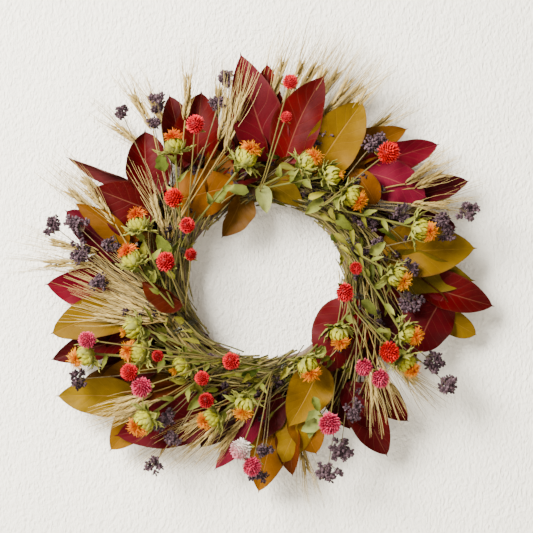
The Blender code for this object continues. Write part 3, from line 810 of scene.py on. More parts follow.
def leaf_finish(settings):
    """Preserved leaf: pale midrib and side veins, faint blotches, a dry darker rim and a waxy gloss."""
    finish = Finish("Preserved leaf")
    split = finish.node("ShaderNodeSeparateXYZ")
    finish.feed(split.inputs[0], finish.map())
    doubled = finish.maths("MULTIPLY", split.outputs["X"], 2.0)
    across = finish.maths("ABSOLUTE", finish.maths("SUBTRACT", doubled, 1.0))
    ranks = finish.maths("MULTIPLY", split.outputs["Y"], 8.0)
    climb = finish.maths("MULTIPLY", finish.maths("POWER", across, 0.85), 1.9)
    wander = finish.maths("MULTIPLY", finish.noise(finish.place(), 40.0, 1.0), 0.7)
    band = finish.maths("FRACT", finish.maths("ADD", finish.maths("SUBTRACT", ranks, climb), wander))
    line = finish.maths("ABSOLUTE", finish.maths("SUBTRACT", band, 0.5))
    side_vein = finish.remap(line, 0.045, 0.0)
    midrib = finish.remap(across, 0.04, 0.012)
    veins = finish.maths("MAXIMUM", midrib, finish.maths("MULTIPLY", side_vein, 0.42), True)
    fine = finish.noise(finish.place(), 900.0, 3.0, 0.6)
    blotch = finish.noise(finish.place(), 34.0, 5.0, 0.62)
    tint = finish.tint()
    shade = finish.blend(1.0, tint, (0.62, 0.52, 0.50, 1), "MULTIPLY")
    bloom = finish.blend(1.0, tint, (1.28, 1.22, 1.2, 1), "MULTIPLY")
    rib = finish.blend(0.2, finish.blend(1.0, tint, (1.4, 1.4, 1.4, 1), "MULTIPLY"), (0.42, 0.22, 0.10, 1))
    colour = finish.blend(finish.remap(blotch, 0.42, 0.72, 0.0, 0.7), tint, shade)
    colour = finish.blend(finish.remap(blotch, 0.5, 0.3, 0.0, 0.6), colour, bloom)
    colour = finish.blend(finish.remap(fine, 0.5, 0.75, 0.0, 0.25), colour, bloom)
    colour = finish.blend(finish.maths("MULTIPLY", veins, settings.vein_strength), colour, rib)
    rim = finish.maths("MULTIPLY", finish.remap(across, 0.9, 1.0), finish.remap(blotch, 0.35, 0.6))
    colour = finish.blend(finish.maths("MULTIPLY", rim, 0.5), colour, (0.06, 0.02, 0.01, 1))
    quilt = finish.maths("MULTIPLY", finish.maths("MULTIPLY", line, 0.35), finish.remap(across, 0.0, 0.3))
    height = finish.maths("ADD", finish.maths("MULTIPLY", veins, -0.5), finish.maths("MULTIPLY", blotch, 0.7))
    height = finish.maths("ADD", height, finish.maths("ADD", finish.maths("MULTIPLY", fine, 0.1), quilt))
    finish.bump(height, 0.7, 0.0009)
    return finish.set(
        Base_Color=colour,
        Roughness=finish.remap(blotch, 0.3, 0.7, settings.gloss_low, settings.gloss_high),
        Specular_IOR_Level=0.05,
    )


def plant_finish(name, streak, mottle, depth, roughness, scale=400.0):
    """Dried plant matter: the piece's own tint with streaks along it and mottling."""
    finish = Finish(name)
    place = finish.place()
    grain = finish.noise(place, scale, 4.0, 0.6)
    patch = finish.noise(place, scale / 6, 3.0)
    tint = finish.tint()
    dark = finish.blend(1.0, tint, (1 - streak, 1 - streak * 1.1, 1 - streak * 1.2, 1), "MULTIPLY")
    pale = finish.blend(1.0, tint, (1 + mottle, 1 + mottle, 1 + mottle * 0.8, 1), "MULTIPLY")
    colour = finish.blend(finish.remap(grain, 0.35, 0.65), dark, tint)
    colour = finish.blend(finish.remap(patch, 0.45, 0.7), colour, pale)
    finish.bump(grain, 0.6, depth)
    return finish.set(
        Base_Color=colour,
        Roughness=finish.remap(grain, 0.3, 0.7, roughness - 0.1, roughness + 0.1),
        Specular_IOR_Level=0.1,
    )


# ---------------------------------------------------------------- sizes and colours


class RingSettings(PropertyGroup):
    cane_radius: FloatProperty(
        name="Cane radius", description="Radius of one grapevine cane", default=0.005, unit="LENGTH"
    )
    wrap_radius: FloatProperty(
        name="Tendril radius", description="Radius of a tying tendril", default=0.0014, unit="LENGTH"
    )
    bark_dark: FloatVectorProperty(
        name="Dark bark",
        description="Bark colour in the cracks",
        default=(0.035, 0.018, 0.010),
        subtype="COLOR",
    )
    bark_light: FloatVectorProperty(
        name="Light bark",
        description="Bark colour on the ridges",
        default=(0.17, 0.10, 0.06),
        subtype="COLOR",
    )


class WireSettings(PropertyGroup):
    wire_colour: FloatVectorProperty(
        name="Wire colour",
        description="Lacquer of the florist's wire",
        default=(0.035, 0.034, 0.02),
        subtype="COLOR",
    )
    binding_turns: IntProperty(
        name="Binding turns", description="Turns of paddle wire round each neck", default=3, min=2, max=12
    )
    paddle_radius: FloatProperty(
        name="Paddle wire radius", description="Radius of the binding wire", default=0.0005, unit="LENGTH"
    )
    loop_radius: FloatProperty(
        name="Loop wire radius",
        description="Radius of the hanging loop's wire",
        default=0.001,
        unit="LENGTH",
    )


class LeafSettings(PropertyGroup):
    thickness: FloatProperty(
        name="Leaf thickness", description="Thickness of a preserved leaf", default=0.00045, unit="LENGTH"
    )
    # Dark leaves behind each bouquet; their darkness is partly painted shade in the gaps next to the ring.
    under_leaves: IntProperty(
        name="Under leaves", description="Darker leaves behind each bouquet", default=10, min=0, max=20
    )
    ripple: FloatProperty(
        name="Edge ripple",
        description="How wavy a leaf's edge is, as a share of its width",
        default=0.1,
        min=0,
        max=0.5,
    )
    vein_strength: FloatProperty(
        name="Vein strength", description="How pale the veins are", default=0.5, min=0, max=1
    )
    gloss_low: FloatProperty(
        name="Gloss", description="Roughness of the waxy patches", default=0.40, min=0, max=1
    )
    gloss_high: FloatProperty(
        name="Dull", description="Roughness of the dry patches", default=0.62, min=0, max=1
    )


class WheatSettings(PropertyGroup):
    spikelets: IntProperty(
        name="Spikelets", description="Spikelets on one ear", default=30, min=8, max=60
    )
    awn_length: FloatProperty(
        name="Awn length", description="Length of the bristles", default=0.036, unit="LENGTH"
    )
    straw_dark: FloatVectorProperty(
        name="Dark straw",
        description="Straw colour at the foot of a spikelet",
        default=(0.21, 0.135, 0.035),
        subtype="COLOR",
    )
    straw_light: FloatVectorProperty(
        name="Light straw",
        description="Straw colour at the tips",
        default=(0.46, 0.34, 0.12),
        subtype="COLOR",
    )


class OreganoSettings(PropertyGroup):
    clumps: IntProperty(
        name="Clumps", description="Clumps of buds in one head", default=12, min=3, max=14
    )
    # Dark clumps of buds between the flowers: partly dark oregano buds, partly painted shade in the gaps
    # between the flowers.
    bud_and_shade_filler_clumps: IntProperty(
        name="Filler clumps",
        description="Small dark clumps between the flowers",
        default=14,
        min=0,
        max=60,
    )
    bud_dark: FloatVectorProperty(
        name="Dark buds",
        description="Colour of the darkest buds",
        default=(0.016, 0.008, 0.011),
        subtype="COLOR",
    )
    bud_light: FloatVectorProperty(
        name="Light buds",
        description="Colour of the dusty lilac buds",
        default=(0.11, 0.068, 0.082),
        subtype="COLOR",
    )


class SafflowerSettings(PropertyGroup):
    bulb_radius: FloatProperty(
        name="Bulb radius", description="Radius of the green bulb", default=0.0088, unit="LENGTH"
    )
    florets: IntProperty(
        name="Florets", description="Florets in one tuft", default=190, min=20, max=300
    )
    bulb_colour: FloatVectorProperty(
        name="Bulb colour",
        description="Yellow-green of the inner bracts",
        default=(0.26, 0.245, 0.014),
        subtype="COLOR",
    )
    bract_colour: FloatVectorProperty(
        name="Outer bract colour",
        description="Pale green of the spiny outer bracts",
        default=(0.12, 0.13, 0.018),
        subtype="COLOR",
    )


class AmaranthSettings(PropertyGroup):
    head_radius: FloatProperty(
        name="Head radius", description="Radius of a full globe amaranth", default=0.009, unit="LENGTH"
    )
    bracts: IntProperty(
        name="Bracts", description="Papery bracts on one head", default=150, min=40, max=300
    )


class StemSettings(PropertyGroup):
    stems: IntProperty(
        name="Stems", description="Loose stems in one bouquet", default=56, min=0, max=120
    )
    sprigs: IntProperty(
        name="Small leaves",
        description="Small curled green leaves in one bouquet",
        default=15,
        min=0,
        max=60,
    )
    stem_straw: FloatVectorProperty(
        name="Straw stem",
        description="Colour of the dry stems",
        default=(0.27, 0.205, 0.065),
        subtype="COLOR",
    )
    stem_olive: FloatVectorProperty(
        name="Olive stem",
        description="Colour of the greener stems",
        default=(0.07, 0.065, 0.016),
        subtype="COLOR",
    )


class StageSettings(PropertyGroup):
    wall_colour: FloatVectorProperty(
        name="Wall", description="Paint of the wall", default=(0.96, 0.915, 0.80), subtype="COLOR"
    )
    floor_colour: FloatVectorProperty(
        name="Floor", description="Pale floor", default=(0.62, 0.60, 0.57), subtype="COLOR"
    )
    view_width: FloatProperty(
        name="View width",
        description="Width that the camera takes in at the wreath",
        default=0.533,
        unit="LENGTH",
    )
    distance: FloatProperty(
        name="Camera distance", description="From the camera to the wreath", default=3.2, unit="LENGTH"
    )


class WreathSettings(PropertyGroup):
    ring: PointerProperty(type=RingSettings)
    wire: PointerProperty(type=WireSettings)
    leaves: PointerProperty(type=LeafSettings)
    wheat: PointerProperty(type=WheatSettings)
    oregano: PointerProperty(type=OreganoSettings)
    safflower: PointerProperty(type=SafflowerSettings)
    amaranth: PointerProperty(type=AmaranthSettings)
    stems: PointerProperty(type=StemSettings)
    stage: PointerProperty(type=StageSettings)


# ---------------------------------------------------------------- pieces


class WREATH_OT_ring(Operator):
    """Twist the grapevine canes and their tendrils"""

    bl_idname = "wreath.ring"
    bl_label = "Grapevine ring"

    def execute(self, context):
        settings = context.scene.harvest_wreath.ring
        finish = bark_finish(settings)
        chance = np.random.default_rng(SEEDS["ring"])
        tube = make_tube_pattern("cane", 10, CANE_STEPS - 2)
        for number in range(CANE_COUNT):
            gathering = Gathering()
            turns = np.linspace(0, 1, CANE_STEPS)
            phase = 360 * number / CANE_COUNT
            route = np.array([section(360 * t, phase + CANE_TURNS * 360 * t, CANE_CIRCLE) for t in turns])
            thins = chance.uniform(-0.09, 0.03, 60)
            swell = np.ones(CANE_STEPS) + np.interp(turns, np.linspace(0, 1, len(thins)), thins)
            for knot in chance.uniform(0.03, 0.97, 9):
                swell += 0.05 * np.exp(-(((turns - knot) / 0.004) ** 2))
            swell[-1] = swell[0]
            points = sweep(tube, route, settings.cane_radius / MM * swell, beside=(0, 1, 0))
            gathering.add(tube, points, ink(BARK))
            gathering.piece(
                f"grapevine_cane_{number + 1}", finish, "grapevine_bark", "wreath", f"vine_cane_{number + 1}"
            )
        tendril = make_tube_pattern("tendril", 7, 60)
        pitch = degrees(3.2 * 1.4 / RING_RADIUS)
        for number, clock in enumerate(TENDRIL_CLOCKS):
            gathering = Gathering()
            turns = np.linspace(0, TENDRIL_TURNS, 70)
            route = np.array([section(clock + t * pitch, 360 * t, TENDRIL_REACH) for t in turns])
            beside = np.array([cos(radians(clock)), 0, -sin(radians(clock))])
            points = sweep(tendril, route, settings.wrap_radius / MM, beside=beside)
            gathering.add(tendril, points, ink(BARK))
            gathering.piece(
                f"tendril_{number + 1}", finish, "grapevine_bark", "wreath", f"vine_wrap_{number + 1}"
            )
        return {"FINISHED"}


class WREATH_OT_bindings(Operator):
    """Wind the paddle wire round each bouquet's neck"""

    bl_idname = "wreath.bindings"
    bl_label = "Wire bindings"

    def execute(self, context):
        settings = context.scene.harvest_wreath.wire
        finish = wire_finish(settings)
        turns = settings.binding_turns
        steps = 28 * turns
        tube = make_tube_pattern("paddle wire", 5, steps - 1)
        for number, neck in NECKS.items():
            low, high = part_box(f"bouquet_{number}_binding")
            front = (RING_CENTRE[1] - low.y) / MM - 1.0
            back = (high.y - RING_CENTRE[1]) / MM - 0.9
            gathering = Gathering()
            route = []
            for t in np.linspace(0, 1, steps):
                lean = 180 + 360 * turns * t
                away = abs((lean - 14 + 180) % 360 - 180)
                ease = min(1, max(0, (away - 50) / 40))
                reach = front + (back - front) * ease * ease * (3 - 2 * ease)
                wobble = 0.6 * sin(9 * t * turns)
                route.append(section(neck + (t - 0.5) * turns * 1.1 + wobble * 0.4, lean, reach))
            beside = np.array([cos(radians(neck)), 0, -sin(radians(neck))])
            points = sweep(tube, np.array(route), settings.paddle_radius / MM, beside=beside)
            gathering.add(tube, points, ink(WIRE))
            gathering.piece(
                f"bouquet_{number}_wire_binding", finish, "paddle_wire", "wreath", f"bouquet_{number}_binding"
            )
        return {"FINISHED"}


class WREATH_OT_hanging_loop(Operator):
    """Twist the hanging loop: a collar round the ring, a neck and an eye"""

    bl_idname = "wreath.hanging_loop"
    bl_label = "Hanging loop"

    def execute(self, context):
        settings = context.scene.harvest_wreath.wire
        finish = wire_finish(settings)
        radius = settings.loop_radius / MM
        gathering = Gathering()
        ring_tube = make_tube_pattern("loop wire", 8, LOOP_STEPS - 2)
        turns = np.linspace(0, 1, LOOP_STEPS)
        collar = np.array([section(0, 360 * t, COLLAR_REACH / cos(pi / COLLAR_SIDES) * 0.985) for t in turns])
        gathering.add(ring_tube, sweep(ring_tube, collar, radius, beside=(1, 0, 0)), ink(WIRE))
        top = (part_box("hanging_loop")[1].z - RING_CENTRE[2]) / MM
        eye_middle = np.array([0, (RING_CENTRE[1] * -1) / MM - 1.4, top - 1 - EYE_RADIUS])
        round_eye = np.array([[sin(2 * pi * t), 0, cos(2 * pi * t)] for t in turns])
        eye = eye_middle + EYE_RADIUS * round_eye
        gathering.add(ring_tube, sweep(ring_tube, eye, radius, beside=(0, 1, 0)), ink(WIRE))
        foot = section(0, NECK_LEAN, COLLAR_REACH)
        shoulder = section(0, NECK_LEAN, COLLAR_REACH + 5)
        head = eye_middle - np.array([0, 0, EYE_RADIUS])
        bend = np.array([0, head[1], (shoulder[2] + head[2]) / 2])
        neck = bezier((foot, shoulder, bend, head), np.linspace(0, 1, 90))
        strand = make_tube_pattern("twisted strand", 6, 88)
        along = unit(np.gradient(neck, axis=0))
        side = np.tile(np.array([1.0, 0, 0]), (90, 1))
        other = np.cross(along, side)
        turn = np.linspace(0, 2 * pi * 4.5, 90).reshape(-1, 1)
        for phase in (0, pi):
            twisted = neck + (side * np.cos(turn + phase) + other * np.sin(turn + phase)) * radius * 0.8
            gathering.add(strand, sweep(strand, twisted, radius * 0.85, beside=(1, 0.2, 0)), ink(WIRE))
        gathering.piece("wire_hanging_loop", finish, "paddle_wire", "hanger", "hanging_loop")
        return {"FINISHED"}


def lay_leaf(gathering, blank, leaf, settings, chance):
    """One leaf of the tables, with its own small bends."""
    base, tip, width, depth, base_colour, tip_colour, roll, cup = leaf
    base = np.array(base) + (np.array(base) - np.array(tip)) * 0.14
    share = blank.points[:, 1] / 2 + 0.5
    shade = mix(ink(base_colour), ink(tip_colour), share) * chance.uniform(0.92, 1.08)
    points = bend_leaf(
        blank,
        at(base, depth),
        at(tip, depth + chance.uniform(-2, 3)),
        FRONT,
        width * 1.12,
        settings.thickness / MM,
        roll=roll,
        cup=cup * 1.5,
        arch=chance.uniform(0.03, 0.09),
        curl=chance.uniform(-0.09, 0.06),
        bow=chance.uniform(-0.05, 0.05),
        ripple=settings.ripple * chance.uniform(0.5, 1.3),
        phase=chance.uniform(0, 1),
        pointed=chance.uniform(0.6, 0.86),
        twist=chance.uniform(-14, 14),
    )
    gathering.add(blank, points, opaque(shade, blank.count))


def lay_under_leaves(gathering, blank, number, settings, chance):
    """Darker leaves behind the named ones, which close the gaps next to the ring. Their dark colours are
    partly the leaves' own and partly painted shade in those gaps.
    """
    order = list(NECKS)
    gap = (NECKS[order[number % 8]] - NECKS[number]) % 360
    count = settings.under_leaves + int(gap / 12)
    for k in range(count):
        clock = NECKS[number] - 2 + (gap + 6) * (k + chance.uniform(0, 0.8)) / count
        start = at_clock(clock, chance.uniform(88, 104), 0)
        turn = clock + chance.uniform(25, 66)
        way = np.array([sin(radians(turn)), 0, cos(radians(turn))])
        length = chance.uniform(46, 64)
        reach = np.linalg.norm(start + way * length)
        way, length = way, length * min(1, 166 / reach)
        tip = start + way * length
        code = UNDER_LEAF_AND_SHADE_COLOURS[int(chance.integers(len(UNDER_LEAF_AND_SHADE_COLOURS)))]
        base, end = (start[0], start[2]), (tip[0], tip[2])
        depth = chance.uniform(-7, 1)
        width, roll, cup = (chance.uniform(*limits) for limits in ((24, 34), (-25, 25), (0, 0.3)))
        leaf = (base, end, width, depth, code, code, roll, cup)
        lay_leaf(gathering, blank, leaf, settings, chance)


class WREATH_OT_leaves(Operator):
    """Lay each bouquet's preserved leaves"""

    bl_idname = "wreath.leaves"
    bl_label = "Leaf sprays"

    def execute(self, context):
        settings = context.scene.harvest_wreath.leaves
        finish = leaf_finish(settings)
        blank = make_leaf_pattern("leaf blank", 12, 24)
        under = make_leaf_pattern("under leaf blank", 5, 9)
        stalk = make_tube_pattern("stalk", 6, 10)
        for number, neck in NECKS.items():
            chance = np.random.default_rng(SEEDS["leaves"] + number)
            gathering = Gathering()
            under_chance = np.random.default_rng(SEEDS["under leaves"] + number)
            lay_under_leaves(gathering, under, number, settings, under_chance)
            for place, leaf in enumerate(LEAVES[number]):
                lay_leaf(gathering, blank, leaf, settings, chance)
                base, tip = at(leaf[0], leaf[3]), at(leaf[1], leaf[3])
                along = unit(tip - base)
                route = route_through([stem_start(neck, "leaves", place), base - along * 9, base + along * 3])
                gathering.add(stalk, sweep(stalk, route, [0.9, 0.8, 0.8, 0.9]), ink(STALK))
            gathering.piece(
                f"bouquet_{number}_leaf_spray", finish, "preserved_leaf", "wreath", f"bouquet_{number}_leaves"
            )
        return {"FINISHED"}


class WREATH_OT_front_leaves(Operator):
    """Tuck the loose leaves in front of the ring"""

    bl_idname = "wreath.front_leaves"
    bl_label = "Front leaves"

    def execute(self, context):
        settings = context.scene.harvest_wreath.leaves
        finish = bpy.data.materials.get("Preserved leaf") or leaf_finish(settings)
        blank = make_leaf_pattern("front leaf blank", 14, 28)
        stalk = make_tube_pattern("front stalk", 6, 6)
        for place, (name, leaf) in enumerate(FRONT_LEAVES.items()):
            chance = np.random.default_rng(SEEDS["front leaves"] + place)
            gathering = Gathering()
            lay_leaf(gathering, blank, leaf, settings, chance)
            base, tip = at(leaf[0], leaf[3]), at(leaf[1], leaf[3])
            along = unit(tip - base)
            route = np.linspace(base - along * 8, base + along * 3, 8)
            gathering.add(stalk, sweep(stalk, route, [0.9, 0.8]), ink(STALK))
            shown = name.replace("_front_leaf", "_loose_leaf")
            gathering.piece(shown, finish, "preserved_leaf", "wreath", name)
        return {"FINISHED"}


def ear_marks(rise, luck, part):
    """Height, chance and part of each point of an ear, for the tint of its copies."""
    return np.stack([rise, np.full_like(rise, luck), rise * 0 + part, rise * 0 + 1], 1)


def make_ear(settings, seed):
    """One ear of bearded wheat along z, 50 mm long: ranks of spikelets and their awns."""
    chance = np.random.default_rng(seed)
    gathering = Gathering()
    spikelet = make_ball_pattern("spikelet", 6, 5)
    awn = make_tube_pattern("awn", 3, 4)
    count = settings.spikelets
    for k in range(count):
        height = 46 * k / count
        side = (k % 3) * 2 * pi / 3 + chance.uniform(-0.3, 0.3) + (k // 3) * 0.25
        out = np.array([cos(side), sin(side), 0])
        slim = min(1, 0.55 + k / 9) * min(1, 0.45 + (count - k) / 8)
        lean = unit(out * 0.34 + np.array([0, 0, 1]))
        foot = out * 1.1 + np.array([0, 0, height])
        shape = spikelet.points.copy()
        shape[:, 2] = (shape[:, 2] + 1) / 2
        shape[:, :2] *= (1.15 - 0.75 * shape[:, 2:3] ** 1.5)
        rise = shape[:, 2].copy()
        shape = shape * np.array([1.9 * slim, 1.45 * slim, 10.0])
        points = foot + shape @ turned(lean, chance.uniform(0, 6))
        gathering.add(spikelet, points, ear_marks(rise, chance.uniform(), 0))
        if k % 4 != 1 or k > count - 10:
            start = foot + lean * 8.5
            length = settings.awn_length / MM * chance.uniform(0.75, 1.2) + (46 - height) * 0.35
            spread = out * chance.uniform(0.06, 0.24) + np.array([0, 0, 1])
            end = start + unit(spread) * length
            middle = (start + end) / 2 + out * length * 0.04
            route = route_through([start, middle, end], 5)
            points = sweep(awn, route, [0.24, 0.19, 0.09])
            gathering.add(awn, points, ear_marks(0.6 + 0.4 * awn.points[:, 2], chance.uniform(), 1))
    return gathering.pattern("wheat ear")


class WREATH_OT_wheat(Operator):
    """Lay the bearded wheat"""

    bl_idname = "wreath.wheat"
    bl_label = "Wheat sheaves"

    def execute(self, context):
        settings = context.scene.harvest_wreath.wheat
        finish = plant_finish("Wheat straw", 0.25, 0.18, 0.0004, 0.6, 700.0)
        ears = [make_ear(settings, seed) for seed in (31, 32, 33, 34)]
        stem = make_tube_pattern("wheat stem", 5, 14)
        dark, light = np.array(settings.straw_dark), np.array(settings.straw_light)
        for number, rows in WHEAT.items():
            chance = np.random.default_rng(SEEDS["wheat"] + number)
            gathering = Gathering()
            for place, (foot, tip) in enumerate(rows + WHEAT_BEHIND[number]):
                ear = ears[(place + number) % 4]
                depth = -3 if place >= len(rows) else WHEAT_BAND + chance.uniform(-2, 1.5)
                depth += LIFTED_EARS.get((number, place), 0)
                start, end = at(foot, depth), at(tip, depth + chance.uniform(-1, 3))
                size = np.linalg.norm(end - start) / 50
                points = ear.points.copy()
                along = points[:, 2:3] / 50
                swing, sway = chance.uniform(-2.5, 2.5, 2)
                bend = np.hstack([swing * along**2, sway * along**2, along * 0])
                points = points * np.array([1, 1, size]) + bend
                points = start + points @ turned(end - start, chance.uniform(0, 6.28))
                shade = mix(dark, light, ear.marks[:, 0]) * (0.86 + 0.26 * ear.marks[:, 1:2])
                gathering.add(ear, points, opaque(shade * chance.uniform(0.88, 1.1), ear.count))
                route = stem_route(NECKS[number], "wheat", place, start)
                gathering.add(stem, sweep(stem, route, [0.75, 0.7, 0.65, 0.8]), dark * 1.1)
            gathering.piece(
                f"bouquet_{number}_wheat_sheaf", finish, "wheat_straw", "wreath", f"bouquet_{number}_wheat"
            )
        return {"FINISHED"}


def make_clump(seed):
    """A clump of tiny buds about the origin, 1 unit in radius."""
    chance = np.random.default_rng(seed)
    gathering = Gathering()
    bud = make_bud_pattern()
    for k in range(13):
        way = unit(chance.normal(size=3))
        middle = way * chance.uniform(0.35, 0.95)
        size = chance.uniform(0.24, 0.38)
        points = middle + (bud.points * np.array([1, 1, 1.5]) * size) @ turned(way, 0)
        tone = chance.uniform()
        gathering.add(bud, points, np.tile([tone, chance.uniform(), 0, 1], (bud.count, 1)))
    return gathering.pattern("bud clump")


class WREATH_OT_oregano(Operator):
    """Gather the oregano heads out of clumps of buds"""

    bl_idname = "wreath.oregano"
    bl_label = "Oregano"

    def execute(self, context):
        settings = context.scene.harvest_wreath.oregano
        finish = plant_finish("Oregano buds", 0.4, 0.5, 0.0003, 0.9, 1500.0)
        clumps = [make_clump(seed) for seed in (41, 42, 43)]
        stem = make_tube_pattern("oregano stem", 5, 12)
        twig = make_tube_pattern("oregano twig", 3, 3)
        dark, light = np.array(settings.bud_dark), np.array(settings.bud_light)
        for number, rows in OREGANO_HEADS.items():
            chance = np.random.default_rng(SEEDS["oregano"] + number)
            gathering = Gathering()
            for place, (plan, radius) in enumerate(rows):
                middle = at(plan, OREGANO_BAND)
                low = ("oregano", number, place) in LOW_STEMS
                route = stem_route(NECKS[number], "oregano", place, middle, low)
                gathering.add(stem, sweep(stem, route, [0.7, 0.6, 0.55, 0.45]), ink("8A7A58", 0.45, 1.1))
                inward = unit(route[-4] - middle)
                fork = middle + inward * radius * 0.9
                tone = chance.uniform(0.0, 0.7)
                for k in range(settings.clumps + int(radius > 9) * 4):
                    way = chance.normal(size=3) * np.array([1, 0.5, 1])
                    way = unit(way - inward * 0.35)
                    spot = middle + way * radius * chance.uniform(0.25, 1.05)
                    size = 2.2 + radius * chance.uniform(0.12, 0.24)
                    clump = clumps[k % 3]
                    bloom = np.clip(clump.marks[:, 0] * 0.75 + tone * 0.45 - 0.05, 0, 1)
                    shade = mix(dark, light, bloom) * (0.7 + 0.6 * clump.marks[:, 1:2])
                    points = set_at(clump, spot, way, size, chance.uniform(0, 6))
                    gathering.add(clump, points, opaque(shade, clump.count))
                    path = route_through([fork, (fork + spot) / 2 + chance.normal(size=3) * 0.5, spot], 4)
                    gathering.add(twig, sweep(twig, path, [0.4, 0.3]), ink("7A6A58", 0.45, 1.1))
            gap = (NECKS[number % 8 + 1] - NECKS[number]) % 360
            # Small dark clumps between the flowers, darker than the heads: partly dark oregano buds, partly
            # painted shade in the gaps.
            for k in range(settings.bud_and_shade_filler_clumps):
                clock = NECKS[number] + chance.uniform(5, gap + 15)
                spot = at_clock(clock, chance.uniform(92, 148), chance.uniform(20, 30))
                clump = clumps[k % 3]
                shade = mix(dark, light, clump.marks[:, 0] * 0.5) * (0.6 + 0.6 * clump.marks[:, 1:2])
                way = chance.normal(size=3)
                points = set_at(clump, spot, way, chance.uniform(2.4, 4.2), chance.uniform(0, 6))
                gathering.add(clump, points, opaque(shade, clump.count))
            gathering.piece(
                f"bouquet_{number}_oregano_heads",
                finish,
                "oregano_flower",
                "wreath",
                f"bouquet_{number}_oregano",
            )
        return {"FINISHED"}


BULB, SCALE, FLORET, LEAFLET = 0.0, 0.25, 0.5, 0.75


def mark(kind, chance, rise):
    """Part, chance and height of each point, for the tint of the copy."""
    rise = np.asarray(rise, float).ravel()
    return np.stack([np.full_like(rise, kind), np.full_like(rise, chance), rise, np.ones_like(rise)], 1)


def make_safflower(settings, seed, closed):
    """One safflower head along z: bulb about the origin, scales, spiny bracts and a tuft of florets."""
    chance = np.random.default_rng(seed)
    gathering = Gathering()
    ball = make_ball_pattern("bulb", 12, 9)
    scale = make_leaf_pattern("scale", 3, 5)
    floret = make_tube_pattern("floret", 3, 3)
    radius = settings.bulb_radius / MM
    shape = ball.points * np.array([radius * 0.9, radius * 0.9, radius * 1.02])
    gathering.add(ball, shape, mark(BULB, 0.4, (ball.points[:, 2] + 1) / 2))
    for ring, (low, high, width, count, flare) in enumerate(
        ((-0.75, 0.1, 6.6, 8, 0.20), (-0.4, 0.6, 6.2, 9, 0.22), (0.0, 1.02, 5.4, 9, 0.24))
    ):
        for k in range(count):
            turn = 2 * pi * (k + 0.5 * ring) / count + chance.uniform(-0.12, 0.12)
            out = np.array([cos(turn), sin(turn), 0])
            rise = np.array([low, high]) * radius
            foot = out * radius * np.sqrt(max(0.05, 1 - low**2)) * 0.93 + np.array([0, 0, rise[0]])
            reach = max(0.30, np.sqrt(max(0.0, 1 - min(high, 0.97) ** 2))) + flare
            tip = out * radius * reach + np.array([0, 0, rise[1] + radius * 0.08])
            points = bend_leaf(
                scale, foot, tip, out, width * chance.uniform(0.9, 1.1), 0.5, cup=-0.28, arch=0.16, ripple=0,
                pointed=0.9,
            )
            gathering.add(scale, points, mark(SCALE, chance.uniform(), scale.points[:, 1] / 2 + 0.5))
    leaflet = make_leaf_pattern("spiny bract", 4, 7)
    for k in range(20):
        turn = 2 * pi * k / 10 + chance.uniform(-0.3, 0.3)
        out = np.array([cos(turn), sin(turn), 0])
        foot = out * radius * 0.55 + np.array([0, 0, -radius * 0.72])
        tilt = chance.uniform(-0.1, 1.5)
        tip = foot + unit(out + np.array([0, 0, tilt])) * chance.uniform(11, 20)
        points = bend_leaf(
            leaflet, foot, tip, unit(out * -0.4 + np.array([0, 0, 1])), chance.uniform(6, 10), 0.4,
            cup=0.25, arch=-0.1, curl=chance.uniform(-0.4, 0.45), ripple=0.35, phase=chance.uniform(),
            pointed=1.1,
        )
        gathering.add(leaflet, points, mark(LEAFLET, chance.uniform(), leaflet.points[:, 1] / 2 + 0.5))
    count = settings.florets // 3 if closed else settings.florets
    root = np.array([0, 0, radius * (0.75 if closed else 1.05)])
    for k in range(count):
        share = (k + 0.5) / count
        turn = SPIRAL * k
        out = np.array([cos(turn), sin(turn), 0])
        lean = (0.5 if closed else 1.75) * share**0.6 * chance.uniform(0.9, 1.1)
        way = out * sin(lean) + np.array([0, 0, cos(lean)])
        foot = root + out * 1.4 * np.sqrt(share)
        length = (6.5 if closed else 8.8) * chance.uniform(0.72, 1.15)
        tip = foot + way * length + chance.normal(size=3) * 0.9
        middle = foot * 0.5 + tip * 0.5 + np.array([0, 0, 0.9]) + chance.normal(size=3) * 0.3
        route = route_through([foot, middle, tip], 4)
        points = sweep(floret, route, [0.42, 0.36, 0.46, 0.2])
        gathering.add(floret, points, mark(FLORET, chance.uniform(), floret.points[:, 2]))
    return gathering.pattern("safflower head")


